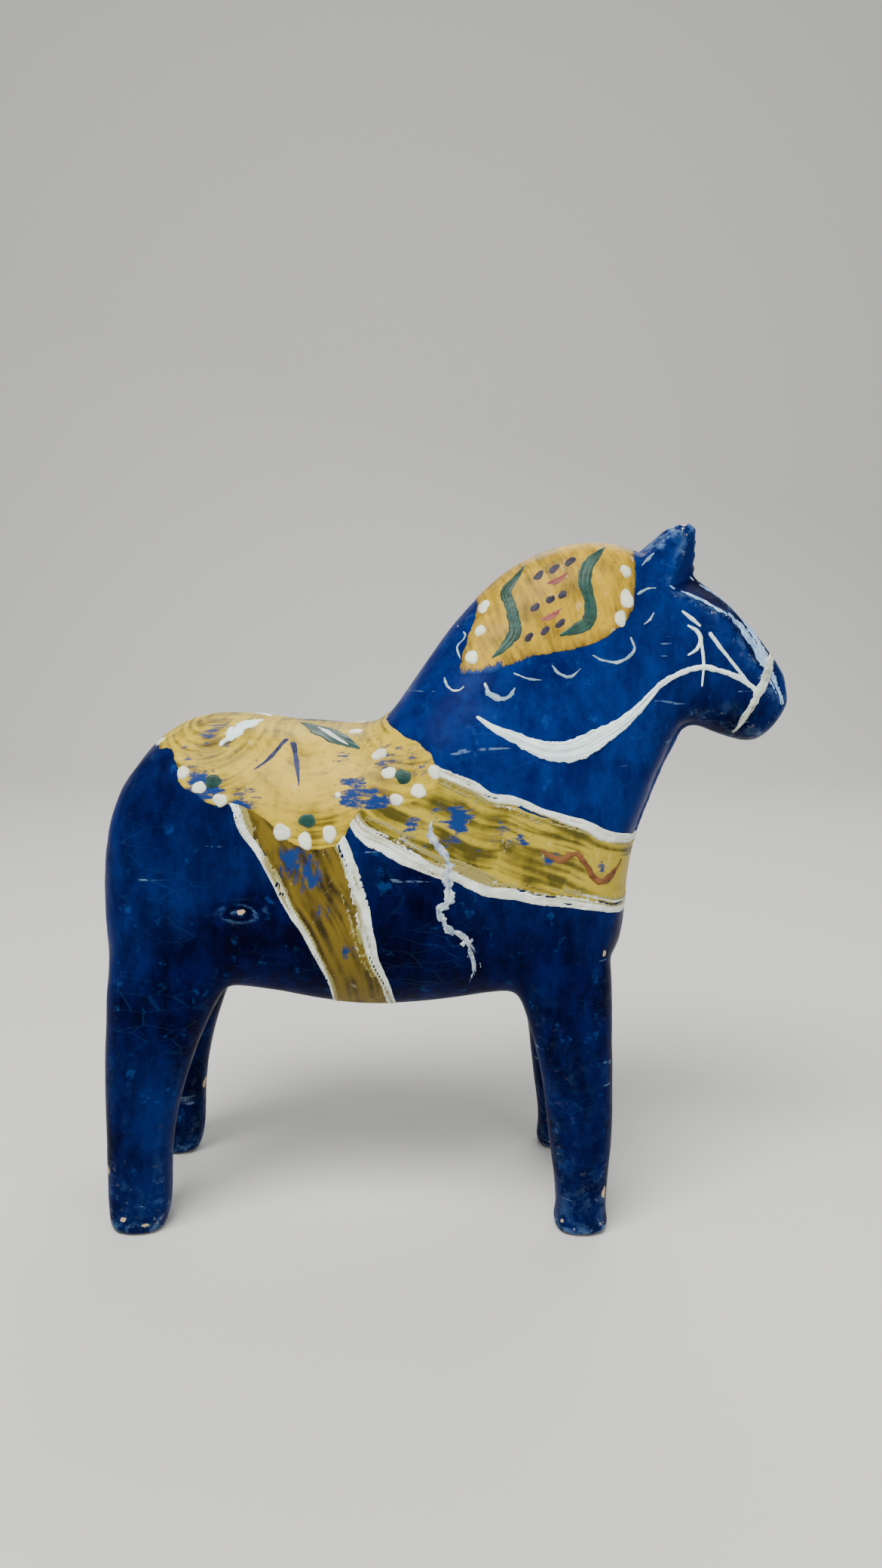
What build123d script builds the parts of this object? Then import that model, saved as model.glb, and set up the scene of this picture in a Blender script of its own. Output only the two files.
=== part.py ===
"""Painted wooden folk horse, 200 mm tall: a pine body whittled from one block, with paint films on it."""

import os
from math import copysign, cos, hypot, pi, sin

from build123d import *

os.makedirs("parts", exist_ok=True)

# The frame: +X is the way the horse faces, +Z is up, and the origin is on the floor under its middle. The
# stations and marks are measured from a line 2 mm behind that middle, and each finished part is moved over.
frame_shift = -2.0
coat_thickness = 0.3  # blue ground coat over the wood
film_thickness = 0.3  # each painted mark over the ground coat
touch_thickness = 0.2  # the red touches, over the yellow of the mane
bare_sole = 0.6  # the coat stops this high, so the horse stands on wood
bare_tip = 2.8  # and this far short of the ear tips, which are rubbed bare
arch_points = 11  # points along each half of a rounded section
foot_z = 2.6  # the bottom edge of each foot is worn round below this height
foot_wear = [(0, 2.1), (0.5, 1.1), (1.3, 0.4), (foot_z, 0)]  # height above the floor and what is worn away
reach = 60  # half width of a cutting prism, more than the body's own

# Body, from the rump along the back, fanning round the withers, up the neck and down the nose, in one run
# of slices. Each spans from the top line to the bottom one: top x, z, bottom x, z, half width, squareness.
body_stations = [
    (-96.2, 103, -96.2, 84, 12, 2.4),
    (-95.0, 113, -95.0, 74, 21, 2.7),
    (-91.4, 124, -91.4, 69.5, 28.5, 3.0),
    (-84, 135.4, -84, 68.2, 32.6, 3.2),
    (-74, 142.6, -74, 67.6, 34.0, 3.2),
    (-60, 144.4, -59, 66.8, 34.5, 3.2),
    (-43, 142.8, -38, 64.4, 34.8, 3.1),
    (-30, 141.8, -15, 63.0, 35, 3.1),
    (-23, 141.8, 10, 64.4, 35, 3.1),
    (-19.5, 142.4, 32, 67.0, 35, 3.2),
    (-17, 143.8, 48.4, 74.0, 35, 3.3),
    (-14.6, 146.4, 53.0, 97.0, 34.4, 3.2),
    (-10.4, 152.0, 58.6, 120.0, 31.4, 3.0),
    (-2.6, 162.8, 66.2, 136.8, 25.8, 2.9),
    (14, 182.4, 70.6, 142.2, 20.8, 3.1),
    (38, 193.6, 75.0, 141.6, 17.6, 3.3),
    (57, 191.0, 79.5, 140.0, 15.6, 3.4),
    (71.5, 184.6, 84.2, 138.3, 14.2, 3.4),
    (83, 175.4, 88.8, 137.4, 12.6, 3.3),
    (91.6, 166.6, 93.0, 138.6, 11.0, 3.0),
    (97.2, 160.0, 97.2, 142.8, 8.8, 2.6),
    (100.2, 155.4, 100.0, 148.4, 4.6, 2.2),
]

# Legs, from the sole up into the body: z, back x, front x, inner y, outer y.
front_leg_stations = [
    (foot_z, 31.6, 47.0, 19.6, 35.0),
    (24, 30.4, 47.5, 18.6, 35.2),
    (44, 27.9, 47.8, 16.6, 35.2),
    (58, 24.6, 47.9, 13.5, 35.1),
    (70, 20.6, 48.0, 9.5, 34.7),
    (86, 17.0, 45.6, 7.0, 32.6),
    (102, 18.0, 40.0, 8.0, 27.0),
]
hind_leg_stations = [
    (foot_z, -95.4, -79.2, 17.2, 33.4),
    (22, -95.5, -77.4, 16.8, 33.8),
    (40, -95.5, -74.0, 15.2, 34.2),
    (54, -95.3, -69.2, 12.5, 34.4),
    (66, -94.9, -63.4, 9.5, 34.4),
    (78, -93.9, -57.0, 7.0, 33.8),
    (92, -90.5, -53.0, 6.5, 31.6),
    (106, -85.0, -54.0, 8.0, 26.0),
]
leg_squareness = 2.5

# Ear: a foot that is buried in the crown, and the tip.
ear_foot_z = 180
ear_foot = [(46, -14.6), (61.4, -14.8), (72.0, -2.0), (46, -1.6)]
ear_tip_z = 199.2
ear_tip = [(66.4, -9.7), (69.6, -9.3), (71.4, -7.4), (66.8, -6.8)]

# Knife facets of the brow, on the right side: a point, the run along the head, the way it faces, its length.
brow_facets = [
    ((71.5, -13.2, 177.5), (17, 2, -8), (0.41, -0.55, 0.73), 20),
    ((88.6, -10.4, 161.4), (18.4, 3.8, -24.6), (0.67, -0.62, 0.41), 34),
]


def rounded_section(plane, half_across, half_along, squareness):
    """Makes a rounded closed section on a plane: an ellipse at squareness 2, and boxier above it."""
    halves = []
    for side in (1, -1):
        arch = []
        for i in range(arch_points):
            angle = pi / 2 - pi * i / (arch_points - 1)
            across = round(cos(angle), 9)
            along = sin(angle)
            reach_out = (abs(across) ** squareness + abs(along) ** squareness) ** (-1 / squareness)
            spot = (side * half_across * across * reach_out, half_along * along * reach_out, 0)
            arch.append(plane.from_local_coords(spot))
        steps = [i / (arch_points - 1) for i in range(arch_points)]
        ends = [plane.x_dir * side, plane.x_dir * -side]
        halves.append(Edge.make_spline(arch, tangents=ends, parameters=steps))
    return Wire(halves)


def body_sections(grow):
    """Makes the slices of the body, each square to the way it runs there."""
    sections = []
    last = len(body_stations) - 1
    for i, (top_x, top_z, bottom_x, bottom_z, half_width, squareness) in enumerate(body_stations):
        top = Vector(top_x, 0, top_z)
        bottom = Vector(bottom_x, 0, bottom_z)
        span = top - bottom
        ahead = Vector(0, 1, 0).cross(span).normalized()
        shift = {0: -grow, last: grow}.get(i, 0)
        middle = Plane((top + bottom) * 0.5 + ahead * shift, x_dir=(0, 1, 0), z_dir=ahead)
        sections.append(rounded_section(middle, half_width + grow, span.length / 2 + grow, squareness))
    return sections


def leg_sections(stations, side, grow):
    """Makes the level slices of one leg."""
    sections = []
    for z, back_x, front_x, inner, outer in stations:
        middle = Plane(((back_x + front_x) / 2, side * (inner + outer) / 2, z))
        half_length = (front_x - back_x) / 2 + grow
        half_width = (outer - inner) / 2 + grow
        sections.append(rounded_section(middle, half_length, half_width, leg_squareness))
    return sections


def foot_sections(stations, side, grow):
    """Makes the level slices of the worn foot under one leg."""
    z, back_x, front_x, inner, outer = stations[0]
    sections = []
    for height, worn in foot_wear:
        middle = Plane(((back_x + front_x) / 2, side * (inner + outer) / 2, height))
        half_length = (front_x - back_x) / 2 - worn + grow
        half_width = (outer - inner) / 2 - worn + grow
        sections.append(rounded_section(middle, half_length, half_width, leg_squareness))
    return sections


def ear_section(height, outline, side, grow):
    """Makes one level slice of the ear at side -1 or 1."""
    middle_x = sum(x for x, y in outline) / len(outline)
    middle_y = sum(y for x, y in outline) / len(outline)
    corners = []
    for x, y in outline:
        corner_x = x + copysign(grow, x - middle_x)
        corner_y = y + copysign(grow, y - middle_y)
        corners.append((corner_x, -side * corner_y, height))
    return Wire.make_polygon(corners)


chip_align = (Align.CENTER, Align.CENTER, Align.MIN)


def whittle(grow):
    """Makes the whole horse, with every surface moved out by grow."""
    with BuildPart() as block:
        add(Solid.make_loft(body_sections(grow)))
        for side in (-1, 1):
            for spot, run, facing, length in brow_facets:
                out = Vector(facing[0], -side * facing[1], facing[2]).normalized()
                origin = Vector(spot[0], -side * spot[1], spot[2]) + out * grow
                cut = Plane(origin, x_dir=(run[0], -side * run[1], run[2]), z_dir=out)
                with Locations(cut.location):
                    Box(length, 30, 12, align=chip_align, mode=Mode.SUBTRACT)
        for side in (-1, 1):
            for stations in (front_leg_stations, hind_leg_stations):
                add(Solid.make_loft(leg_sections(stations, side, grow)))
                add(Solid.make_loft(foot_sections(stations, side, grow), ruled=True))
            foot = ear_section(ear_foot_z, ear_foot, side, grow)
            tip = ear_section(ear_tip_z + grow, ear_tip, side, grow)
            add(Solid.make_loft([foot, tip], ruled=True))
    return block.part


def brush_stroke(path, widest):
    """Makes one brush stroke along a path, widest in its middle and pointed at both ends."""
    last = len(path) - 1
    left = []
    right = []
    for i in range(1, last):
        run_x = path[i + 1][0] - path[i - 1][0]
        run_z = path[i + 1][1] - path[i - 1][1]
        half = widest * (i / last * (1 - i / last)) ** 0.5 / hypot(run_x, run_z)
        left.append((path[i][0] - run_z * half, path[i][1] + run_x * half))
        right.append((path[i][0] + run_z * half, path[i][1] - run_x * half))
    with BuildSketch() as stroke:
        with BuildLine():
            Spline(path[0], *left, path[-1])
            Spline(path[-1], *reversed(right), path[0])
        make_face()
    return stroke.sketch


def patch_over_top(edge_points, top):
    """Makes a patch with a smooth lower edge, carried up over the top of the body."""
    with BuildSketch() as patch:
        with BuildLine():
            edge = Spline(*edge_points)
            Polyline(edge @ 1, (edge_points[-1][0], top), (edge_points[0][0], top), edge @ 0)
        make_face()
    return patch.sketch


def band_between(first, second):
    """Makes the strip between two smooth lines."""
    with BuildSketch() as strip:
        with BuildLine():
            one = Spline(*first)
            two = Spline(*second)
            Line(one @ 0, two @ 0)
            Line(one @ 1, two @ 1)
        make_face()
    return strip.sketch


def shifted(points, along_x, along_z):
    """Moves a line of points."""
    return [(x + along_x, z + along_z) for x, z in points]


# Everything below is made on the right half, at y below 0, and mirrored.
right_half_align = (Align.CENTER, Align.MAX, Align.MIN)

with BuildPart() as carved_body:
    add(whittle(-coat_thickness))

# The outer faces of the ground coat and of the films on it.
with BuildPart() as coat_top:
    add(whittle(0))

with BuildPart() as film_top:
    add(whittle(film_thickness))

with BuildPart() as touch_top:
    add(Solid.make_loft(body_sections(film_thickness + touch_thickness)))

with BuildPart() as blue_ground_coat:
    add(coat_top.part)
    with Locations((0, 0, bare_sole)):
        Box(300, reach, ear_tip_z - bare_sole - bare_tip, align=right_half_align, mode=Mode.INTERSECT)
    add(carved_body.part, mode=Mode.SUBTRACT)
    mirror(about=Plane.XZ)

# Every mark is an outline seen from the side, in x and z, and is painted alike on both sides of the horse.
# Mane patch: yellow, with two green leaves, dark and red touches, and a row of white dots down each edge.
mane_edge = [
    (11, 182), (9.6, 176.5), (8.2, 171), (5.8, 164), (4, 158.6), (10.5, 157.4), (19, 160.5), (26.5, 162.6),
    (35.5, 164.4), (42.5, 167), (47.6, 170.2), (51.6, 175), (52.9, 182), (52.6, 190), (52.8, 196),
]
with BuildSketch() as mane_leaf_marks:
    left_leaf = [(23.3, 187), (18.8, 182), (17.8, 177.5), (19.4, 171.5), (17.5, 166), (13.6, 162.2)]
    right_leaf = [(45.2, 191), (40.4, 187.5), (38.9, 182.6), (40.3, 176.4), (38.5, 171), (32.2, 168.1)]
    add(brush_stroke(left_leaf, 4.0))
    add(brush_stroke(right_leaf, 4.6))
with BuildSketch() as mane_dash_marks:
    for x, z in [(26.5, 184.3), (30.7, 186.1), (35.3, 188.2), (25.2, 175.6), (29.3, 177.7), (32.7, 179.1),
                 (23.3, 167.5), (27.8, 169.3), (32, 171.3)]:
        with Locations(Location((x, z, 0), (0, 0, 40))):
            Ellipse(1.5, 0.75)
with BuildSketch() as mane_red_marks:
    add(brush_stroke([(28.6, 181.6), (30.5, 181.9), (32.5, 183), (34.2, 184.9)], 1.7))
    add(brush_stroke([(26.8, 172.2), (28.6, 172.3), (30.6, 173.3), (32.4, 175.1)], 1.7))
with BuildSketch() as mane_dot_marks:
    for x, z, wide, tall in [(11.6, 175.5, 1.6, 2.3), (10.3, 169.3, 1.6, 1.7), (8, 162.3, 1.6, 2.3),
                             (50.2, 185.4, 1.6, 1.8), (50.2, 178, 2.1, 2.8), (48.5, 172.8, 1.7, 2.2)]:
        with Locations(Location((x, z, 0), (0, 0, -8))):
            Ellipse(wide, tall)

# Saddle cloth: yellow, scalloped, with a leaf, dots and tapering strokes.
cloth_edge = [
    (-81, 146), (-78.4, 139), (-74.2, 136.4), (-71.6, 132), (-70, 128.4), (-65.5, 125.6), (-61, 123.2),
    (-55.8, 122.6), (-50, 119.9), (-46, 116.4), (-42, 113.2), (-37.8, 111.2), (-32.8, 111), (-28.6, 113.2),
    (-26, 117), (-23, 120.4), (-18.5, 121.8), (-13.4, 122.4), (-9, 123.6), (-4.5, 126), (-1.9, 128.8),
    (-1.3, 132), (-3, 135.8), (-5.8, 138.8), (-11.2, 141.4), (-16, 144), (-18, 149),
]
with BuildSketch() as cloth_dot_marks:
    for x, z, wide, tall in [(-78.6, 139.2, 1.5, 1.7), (-69.6, 131.7, 1.6, 2.0), (-65.3, 128.2, 1.7, 1.7),
                             (-59.7, 125, 1.8, 1.8), (-43, 116.3, 2.4, 2.2), (-37, 114, 1.9, 2.3),
                             (-30.5, 115.8, 1.9, 2.2), (-17.6, 136, 1.9, 1.6), (-14.7, 131.5, 1.8, 1.7),
                             (-12.6, 124.9, 1.7, 1.8), (-6.7, 127.2, 2.1, 1.8), (-3.3, 132.1, 1.8, 1.8),
                             (-28.3, 125.8, 0.9, 0.9), (-24.5, 141.0, 2.2, 1.1)]:
        with Locations((x, z)):
            Ellipse(wide, tall)
with BuildSketch() as cloth_green_dot_marks:
    with Locations((-61.6, 129.7), (-36.4, 119.6), (-10.2, 131)):
        Circle(2.1)
with BuildSketch() as cloth_leaf_marks:
    add(brush_stroke([(-41, 143), (-36, 141), (-31.5, 139.2), (-27.5, 138.2), (-23.2, 137.6)], 5.6))
with BuildSketch() as cloth_leaf_vein_marks:
    add(brush_stroke([(-35.5, 141.4), (-32.6, 140.1), (-29.6, 139), (-26.2, 138.3)], 1.4))
with BuildSketch() as cloth_white_stroke_marks:
    add(brush_stroke([(-60.2, 138.9), (-57.6, 141.2), (-55, 142.4), (-51.6, 143.2)], 2.6))
with BuildSketch() as cloth_blue_stroke_marks:
    add(brush_stroke([(-43, 139.3), (-45, 137), (-47.4, 134.6), (-52, 131.6)], 2.0))
    add(brush_stroke([(-41, 138.2), (-39.6, 134), (-39, 130.4), (-38.6, 126.2)], 2.2))

# Girth: a yellow band with white edges, from the cloth down and under the belly.
girth_edge_width = 3.2
girth_rear = [
    (-60, 130), (-55.8, 123.9), (-49.8, 111.4), (-42.6, 97), (-35.6, 83.2), (-31.7, 73), (-29.5, 62),
    (-28, 52),
]
girth_front = [
    (-31, 122), (-27.9, 113.2), (-23.6, 100), (-20.3, 86), (-17.6, 77), (-15.3, 71), (-13.2, 62),
    (-12, 52),
]
girth_rear_inner = shifted(girth_rear, girth_edge_width, 0)
girth_front_inner = shifted(girth_front, -girth_edge_width, 0)

# Breast band: the same, from the cloth forward and round the chest.
breast_edge_width = 2.8
breast_top = [(-8, 135.5), (-1.3, 132.1), (12, 126), (25.2, 121.6), (39, 117), (50.2, 113), (62, 109.5)]
breast_bottom = [
    (-30, 124), (-23.6, 118.4), (-12, 110.9), (0, 105.4), (18.6, 99.6), (35, 96.4), (47.3, 93.6), (62, 91),
]
breast_top_inner = shifted(breast_top, 0, -breast_edge_width)
breast_bottom_inner = shifted(breast_bottom, 0, breast_edge_width)
with BuildSketch() as breast_wave_marks:
    wave = [
        (26.2, 111.1), (31.9, 108.6), (35.6, 109.5), (38.8, 106), (41, 102.6), (44, 101.8), (47, 103.8),
        (50.4, 107.4),
    ]
    add(brush_stroke(wave, 1.8))

# White line work: the rein down the neck, the bridle, fine curls, and a worn line on the flank.
with BuildSketch() as rein_marks:
    sweep = [
        (9.2, 146.4), (15.5, 142.8), (22, 139.6), (30, 137.2), (37.5, 138.2), (44, 141.5), (51, 146.5),
        (58.5, 153.4),
    ]
    cheek = [
        (58, 152.6), (61.5, 155.6), (66.5, 157.8), (72.5, 158.9), (79, 157.6), (85.5, 155), (89.5, 151.8),
    ]
    add(brush_stroke(sweep, 6.2))
    add(brush_stroke(cheek, 1.9))
with BuildSketch() as bridle_marks:
    add(brush_stroke([(74.5, 168.6), (78, 164.4), (81.5, 160.2), (84.4, 156.8)], 1.0))
    add(brush_stroke([(66.2, 174.6), (68.2, 173.2), (70, 171.8), (71.8, 170.4)], 1.2))
    add(brush_stroke([(68, 170.8), (70.4, 168.8), (71.8, 166.8), (71, 164.6), (68, 162.4)], 1.2))
    add(brush_stroke([(73.6, 166.2), (73.9, 164.6), (74.1, 162.8), (74.2, 160.6)], 0.9))
with BuildSketch() as noseband_marks:
    noseband_line = [
        (93.6, 159.2), (92.2, 157), (90.4, 153.6), (88, 149), (85.8, 145.2), (83.8, 142),
    ]
    add(brush_stroke(noseband_line, 3.0))
with BuildSketch() as nose_light_marks:
    add(brush_stroke([(79.6, 174.2), (83, 169.8), (86.6, 164.6), (89.8, 159.8), (92.6, 155.6)], 2.4))
with BuildSketch() as curl_marks:
    add(brush_stroke([(58.6, 190.2), (57.2, 189.4), (56.2, 188.4), (55.3, 187)], 1.1))
    add(brush_stroke([(58.8, 181), (57, 181.1), (55.4, 180.6), (53.9, 179.4)], 1.0))
    add(brush_stroke([(58.2, 174.4), (57.8, 173.2), (57, 172.2), (55.4, 171.2)], 0.9))
    long_curl = [(51.7, 167.4), (52.9, 165), (52, 162.4), (48.5, 160.9), (44, 161.2), (40.3, 162.8)]
    add(brush_stroke(long_curl, 1.1))
    add(brush_stroke([(29.4, 160.2), (31.6, 157.8), (34.4, 156.8), (36.6, 157.6), (37.8, 159.4)], 1.1))
    add(brush_stroke([(19.3, 158), (21.8, 157), (24.4, 156.2), (27.4, 156)], 0.9))
    add(brush_stroke([(11.2, 155.4), (12.4, 152.8), (15.2, 151.2), (18, 151.8), (19.6, 154)], 2.2))
    add(brush_stroke([(0.4, 156.8), (1, 154.4), (2.8, 153), (4.4, 153.2), (5.8, 154.6)], 0.9))
    add(brush_stroke([(3.6, 171), (5.4, 169), (4.2, 166.6), (3.6, 164), (4.8, 161.6)], 0.8))
with BuildSketch() as flank_marks:
    drip = [
        (-3, 119.4), (-3.4, 115.4), (-1.6, 112), (0.7, 108.6), (1.2, 103), (1.2, 97.4), (0, 93.4),
        (2.4, 89.4), (6, 86.4), (8.4, 80.6), (8.6, 76), (7.6, 71.6),
    ]
    add(brush_stroke(drip, 2.2))


# The films. Where marks meet, the one laid last shows whole and the one under it is cut away round it.
with BuildPart() as mane_patch:
    with BuildSketch(Plane.XZ):
        add(patch_over_top(mane_edge, 210))
        for marks in (mane_leaf_marks, mane_dash_marks, mane_dot_marks):
            add(marks.sketch, mode=Mode.SUBTRACT)
    extrude(amount=reach)
    add(film_top.part, mode=Mode.INTERSECT)
    add(coat_top.part, mode=Mode.SUBTRACT)
    mirror(about=Plane.XZ)

with BuildPart() as mane_leaves:
    with BuildSketch(Plane.XZ):
        add(mane_leaf_marks.sketch)
    extrude(amount=reach)
    add(film_top.part, mode=Mode.INTERSECT)
    add(coat_top.part, mode=Mode.SUBTRACT)
    mirror(about=Plane.XZ)

with BuildPart() as mane_dashes:
    with BuildSketch(Plane.XZ):
        add(mane_dash_marks.sketch)
    extrude(amount=reach)
    add(film_top.part, mode=Mode.INTERSECT)
    add(coat_top.part, mode=Mode.SUBTRACT)
    mirror(about=Plane.XZ)

with BuildPart() as mane_red_touches:
    with BuildSketch(Plane.XZ):
        add(mane_red_marks.sketch)
    extrude(amount=reach)
    add(touch_top.part, mode=Mode.INTERSECT)
    add(film_top.part, mode=Mode.SUBTRACT)
    mirror(about=Plane.XZ)

with BuildPart() as mane_dots:
    with BuildSketch(Plane.XZ):
        add(mane_dot_marks.sketch)
        add(mane_leaf_marks.sketch, mode=Mode.SUBTRACT)
    extrude(amount=reach)
    add(film_top.part, mode=Mode.INTERSECT)
    add(coat_top.part, mode=Mode.SUBTRACT)
    mirror(about=Plane.XZ)

with BuildPart() as saddle_cloth:
    with BuildSketch(Plane.XZ):
        add(patch_over_top(cloth_edge, 160))
        for marks in (cloth_dot_marks, cloth_green_dot_marks, cloth_leaf_marks,
                      cloth_white_stroke_marks, cloth_blue_stroke_marks):
            add(marks.sketch, mode=Mode.SUBTRACT)
    extrude(amount=reach)
    add(film_top.part, mode=Mode.INTERSECT)
    add(coat_top.part, mode=Mode.SUBTRACT)
    mirror(about=Plane.XZ)

with BuildPart() as saddle_cloth_dots:
    with BuildSketch(Plane.XZ):
        add(cloth_dot_marks.sketch)
    extrude(amount=reach)
    add(film_top.part, mode=Mode.INTERSECT)
    add(coat_top.part, mode=Mode.SUBTRACT)
    mirror(about=Plane.XZ)

with BuildPart() as saddle_cloth_green_dots:
    with BuildSketch(Plane.XZ):
        add(cloth_green_dot_marks.sketch)
        add(cloth_dot_marks.sketch, mode=Mode.SUBTRACT)
    extrude(amount=reach)
    add(film_top.part, mode=Mode.INTERSECT)
    add(coat_top.part, mode=Mode.SUBTRACT)
    mirror(about=Plane.XZ)

with BuildPart() as saddle_cloth_leaf:
    with BuildSketch(Plane.XZ):
        add(cloth_leaf_marks.sketch)
        for marks in (cloth_leaf_vein_marks, cloth_dot_marks):
            add(marks.sketch, mode=Mode.SUBTRACT)
    extrude(amount=reach)
    add(film_top.part, mode=Mode.INTERSECT)
    add(coat_top.part, mode=Mode.SUBTRACT)
    mirror(about=Plane.XZ)

with BuildPart() as saddle_cloth_leaf_vein:
    with BuildSketch(Plane.XZ):
        add(cloth_leaf_vein_marks.sketch)
        add(cloth_dot_marks.sketch, mode=Mode.SUBTRACT)
    extrude(amount=reach)
    add(film_top.part, mode=Mode.INTERSECT)
    add(coat_top.part, mode=Mode.SUBTRACT)
    mirror(about=Plane.XZ)

with BuildPart() as saddle_cloth_white_stroke:
    with BuildSketch(Plane.XZ):
        add(cloth_white_stroke_marks.sketch)
    extrude(amount=reach)
    add(film_top.part, mode=Mode.INTERSECT)
    add(coat_top.part, mode=Mode.SUBTRACT)
    mirror(about=Plane.XZ)

with BuildPart() as saddle_cloth_blue_strokes:
    with BuildSketch(Plane.XZ):
        add(cloth_blue_stroke_marks.sketch)
        add(cloth_leaf_marks.sketch, mode=Mode.SUBTRACT)
    extrude(amount=reach)
    add(film_top.part, mode=Mode.INTERSECT)
    add(coat_top.part, mode=Mode.SUBTRACT)
    mirror(about=Plane.XZ)

with BuildPart() as girth_band:
    with BuildSketch(Plane.XZ):
        add(band_between(girth_rear_inner, girth_front_inner))
        add(patch_over_top(cloth_edge, 160), mode=Mode.SUBTRACT)
        add(cloth_dot_marks.sketch, mode=Mode.SUBTRACT)
    extrude(amount=reach)
    add(film_top.part, mode=Mode.INTERSECT)
    add(coat_top.part, mode=Mode.SUBTRACT)
    mirror(about=Plane.XZ)

with BuildPart() as girth_edges:
    with BuildSketch(Plane.XZ):
        add(band_between(girth_rear, girth_rear_inner))
        add(band_between(girth_front_inner, girth_front))
        add(patch_over_top(cloth_edge, 160), mode=Mode.SUBTRACT)
        add(cloth_dot_marks.sketch, mode=Mode.SUBTRACT)
    extrude(amount=reach)
    add(film_top.part, mode=Mode.INTERSECT)
    add(coat_top.part, mode=Mode.SUBTRACT)
    mirror(about=Plane.XZ)

with BuildPart() as breast_band:
    with BuildSketch(Plane.XZ):
        add(band_between(breast_top_inner, breast_bottom_inner))
        add(patch_over_top(cloth_edge, 160), mode=Mode.SUBTRACT)
        for marks in (cloth_dot_marks, breast_wave_marks, flank_marks):
            add(marks.sketch, mode=Mode.SUBTRACT)
    extrude(amount=reach)
    add(film_top.part, mode=Mode.INTERSECT)
    add(coat_top.part, mode=Mode.SUBTRACT)
    mirror(about=Plane.XZ)

with BuildPart() as breast_band_edges:
    with BuildSketch(Plane.XZ):
        add(band_between(breast_top, breast_top_inner))
        add(band_between(breast_bottom_inner, breast_bottom))
        add(patch_over_top(cloth_edge, 160), mode=Mode.SUBTRACT)
        for marks in (cloth_dot_marks, flank_marks):
            add(marks.sketch, mode=Mode.SUBTRACT)
    extrude(amount=reach)
    add(film_top.part, mode=Mode.INTERSECT)
    add(coat_top.part, mode=Mode.SUBTRACT)
    mirror(about=Plane.XZ)

with BuildPart() as breast_band_wave:
    with BuildSketch(Plane.XZ):
        add(breast_wave_marks.sketch)
    extrude(amount=reach)
    add(film_top.part, mode=Mode.INTERSECT)
    add(coat_top.part, mode=Mode.SUBTRACT)
    mirror(about=Plane.XZ)

with BuildPart() as rein_sweep:
    with BuildSketch(Plane.XZ):
        add(rein_marks.sketch)
        for marks in (bridle_marks, noseband_marks, mane_dot_marks):
            add(marks.sketch, mode=Mode.SUBTRACT)
    extrude(amount=reach)
    add(film_top.part, mode=Mode.INTERSECT)
    add(coat_top.part, mode=Mode.SUBTRACT)
    mirror(about=Plane.XZ)

with BuildPart() as bridle_strokes:
    with BuildSketch(Plane.XZ):
        add(bridle_marks.sketch)
        add(noseband_marks.sketch, mode=Mode.SUBTRACT)
    extrude(amount=reach)
    add(film_top.part, mode=Mode.INTERSECT)
    add(coat_top.part, mode=Mode.SUBTRACT)
    mirror(about=Plane.XZ)

with BuildPart() as noseband:
    with BuildSketch(Plane.XZ):
        add(noseband_marks.sketch)
    extrude(amount=reach)
    add(film_top.part, mode=Mode.INTERSECT)
    add(coat_top.part, mode=Mode.SUBTRACT)
    mirror(about=Plane.XZ)

with BuildPart() as nose_highlight:
    with BuildSketch(Plane.XZ):
        add(nose_light_marks.sketch)
        for marks in (noseband_marks, bridle_marks):
            add(marks.sketch, mode=Mode.SUBTRACT)
    extrude(amount=reach)
    add(film_top.part, mode=Mode.INTERSECT)
    add(coat_top.part, mode=Mode.SUBTRACT)
    mirror(about=Plane.XZ)

with BuildPart() as neck_curls:
    with BuildSketch(Plane.XZ):
        add(curl_marks.sketch)
        add(mane_dot_marks.sketch, mode=Mode.SUBTRACT)
    extrude(amount=reach)
    add(film_top.part, mode=Mode.INTERSECT)
    add(coat_top.part, mode=Mode.SUBTRACT)
    mirror(about=Plane.XZ)

with BuildPart() as flank_drip:
    with BuildSketch(Plane.XZ):
        add(flank_marks.sketch)
        add(cloth_dot_marks.sketch, mode=Mode.SUBTRACT)
    extrude(amount=reach)
    add(film_top.part, mode=Mode.INTERSECT)
    add(coat_top.part, mode=Mode.SUBTRACT)
    mirror(about=Plane.XZ)


nodes = {
    "carved_body": carved_body,
    "blue_ground_coat": blue_ground_coat,
    "mane_patch": mane_patch,
    "mane_leaves": mane_leaves,
    "mane_dashes": mane_dashes,
    "mane_red_touches": mane_red_touches,
    "mane_dots": mane_dots,
    "saddle_cloth": saddle_cloth,
    "saddle_cloth_dots": saddle_cloth_dots,
    "saddle_cloth_green_dots": saddle_cloth_green_dots,
    "saddle_cloth_leaf": saddle_cloth_leaf,
    "saddle_cloth_leaf_vein": saddle_cloth_leaf_vein,
    "saddle_cloth_white_stroke": saddle_cloth_white_stroke,
    "saddle_cloth_blue_strokes": saddle_cloth_blue_strokes,
    "girth_band": girth_band,
    "girth_edges": girth_edges,
    "breast_band": breast_band,
    "breast_band_edges": breast_band_edges,
    "breast_band_wave": breast_band_wave,
    "rein_sweep": rein_sweep,
    "bridle_strokes": bridle_strokes,
    "noseband": noseband,
    "nose_highlight": nose_highlight,
    "neck_curls": neck_curls,
    "flank_drip": flank_drip,
}
for name, node in nodes.items():
    node.part = node.part.moved(Location((frame_shift, 0, 0)))
    node.part.label = name
    export_step(node.part, f"parts/{name}.step")
    size = [round(v, 1) for v in node.part.bounding_box().size]
    print(name, len(node.part.solids()), "solids", round(node.part.volume, 1), "mm3", size)
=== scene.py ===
import math

import bpy
import numpy as np
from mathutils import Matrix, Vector
from mathutils.bvhtree import BVHTree


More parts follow.
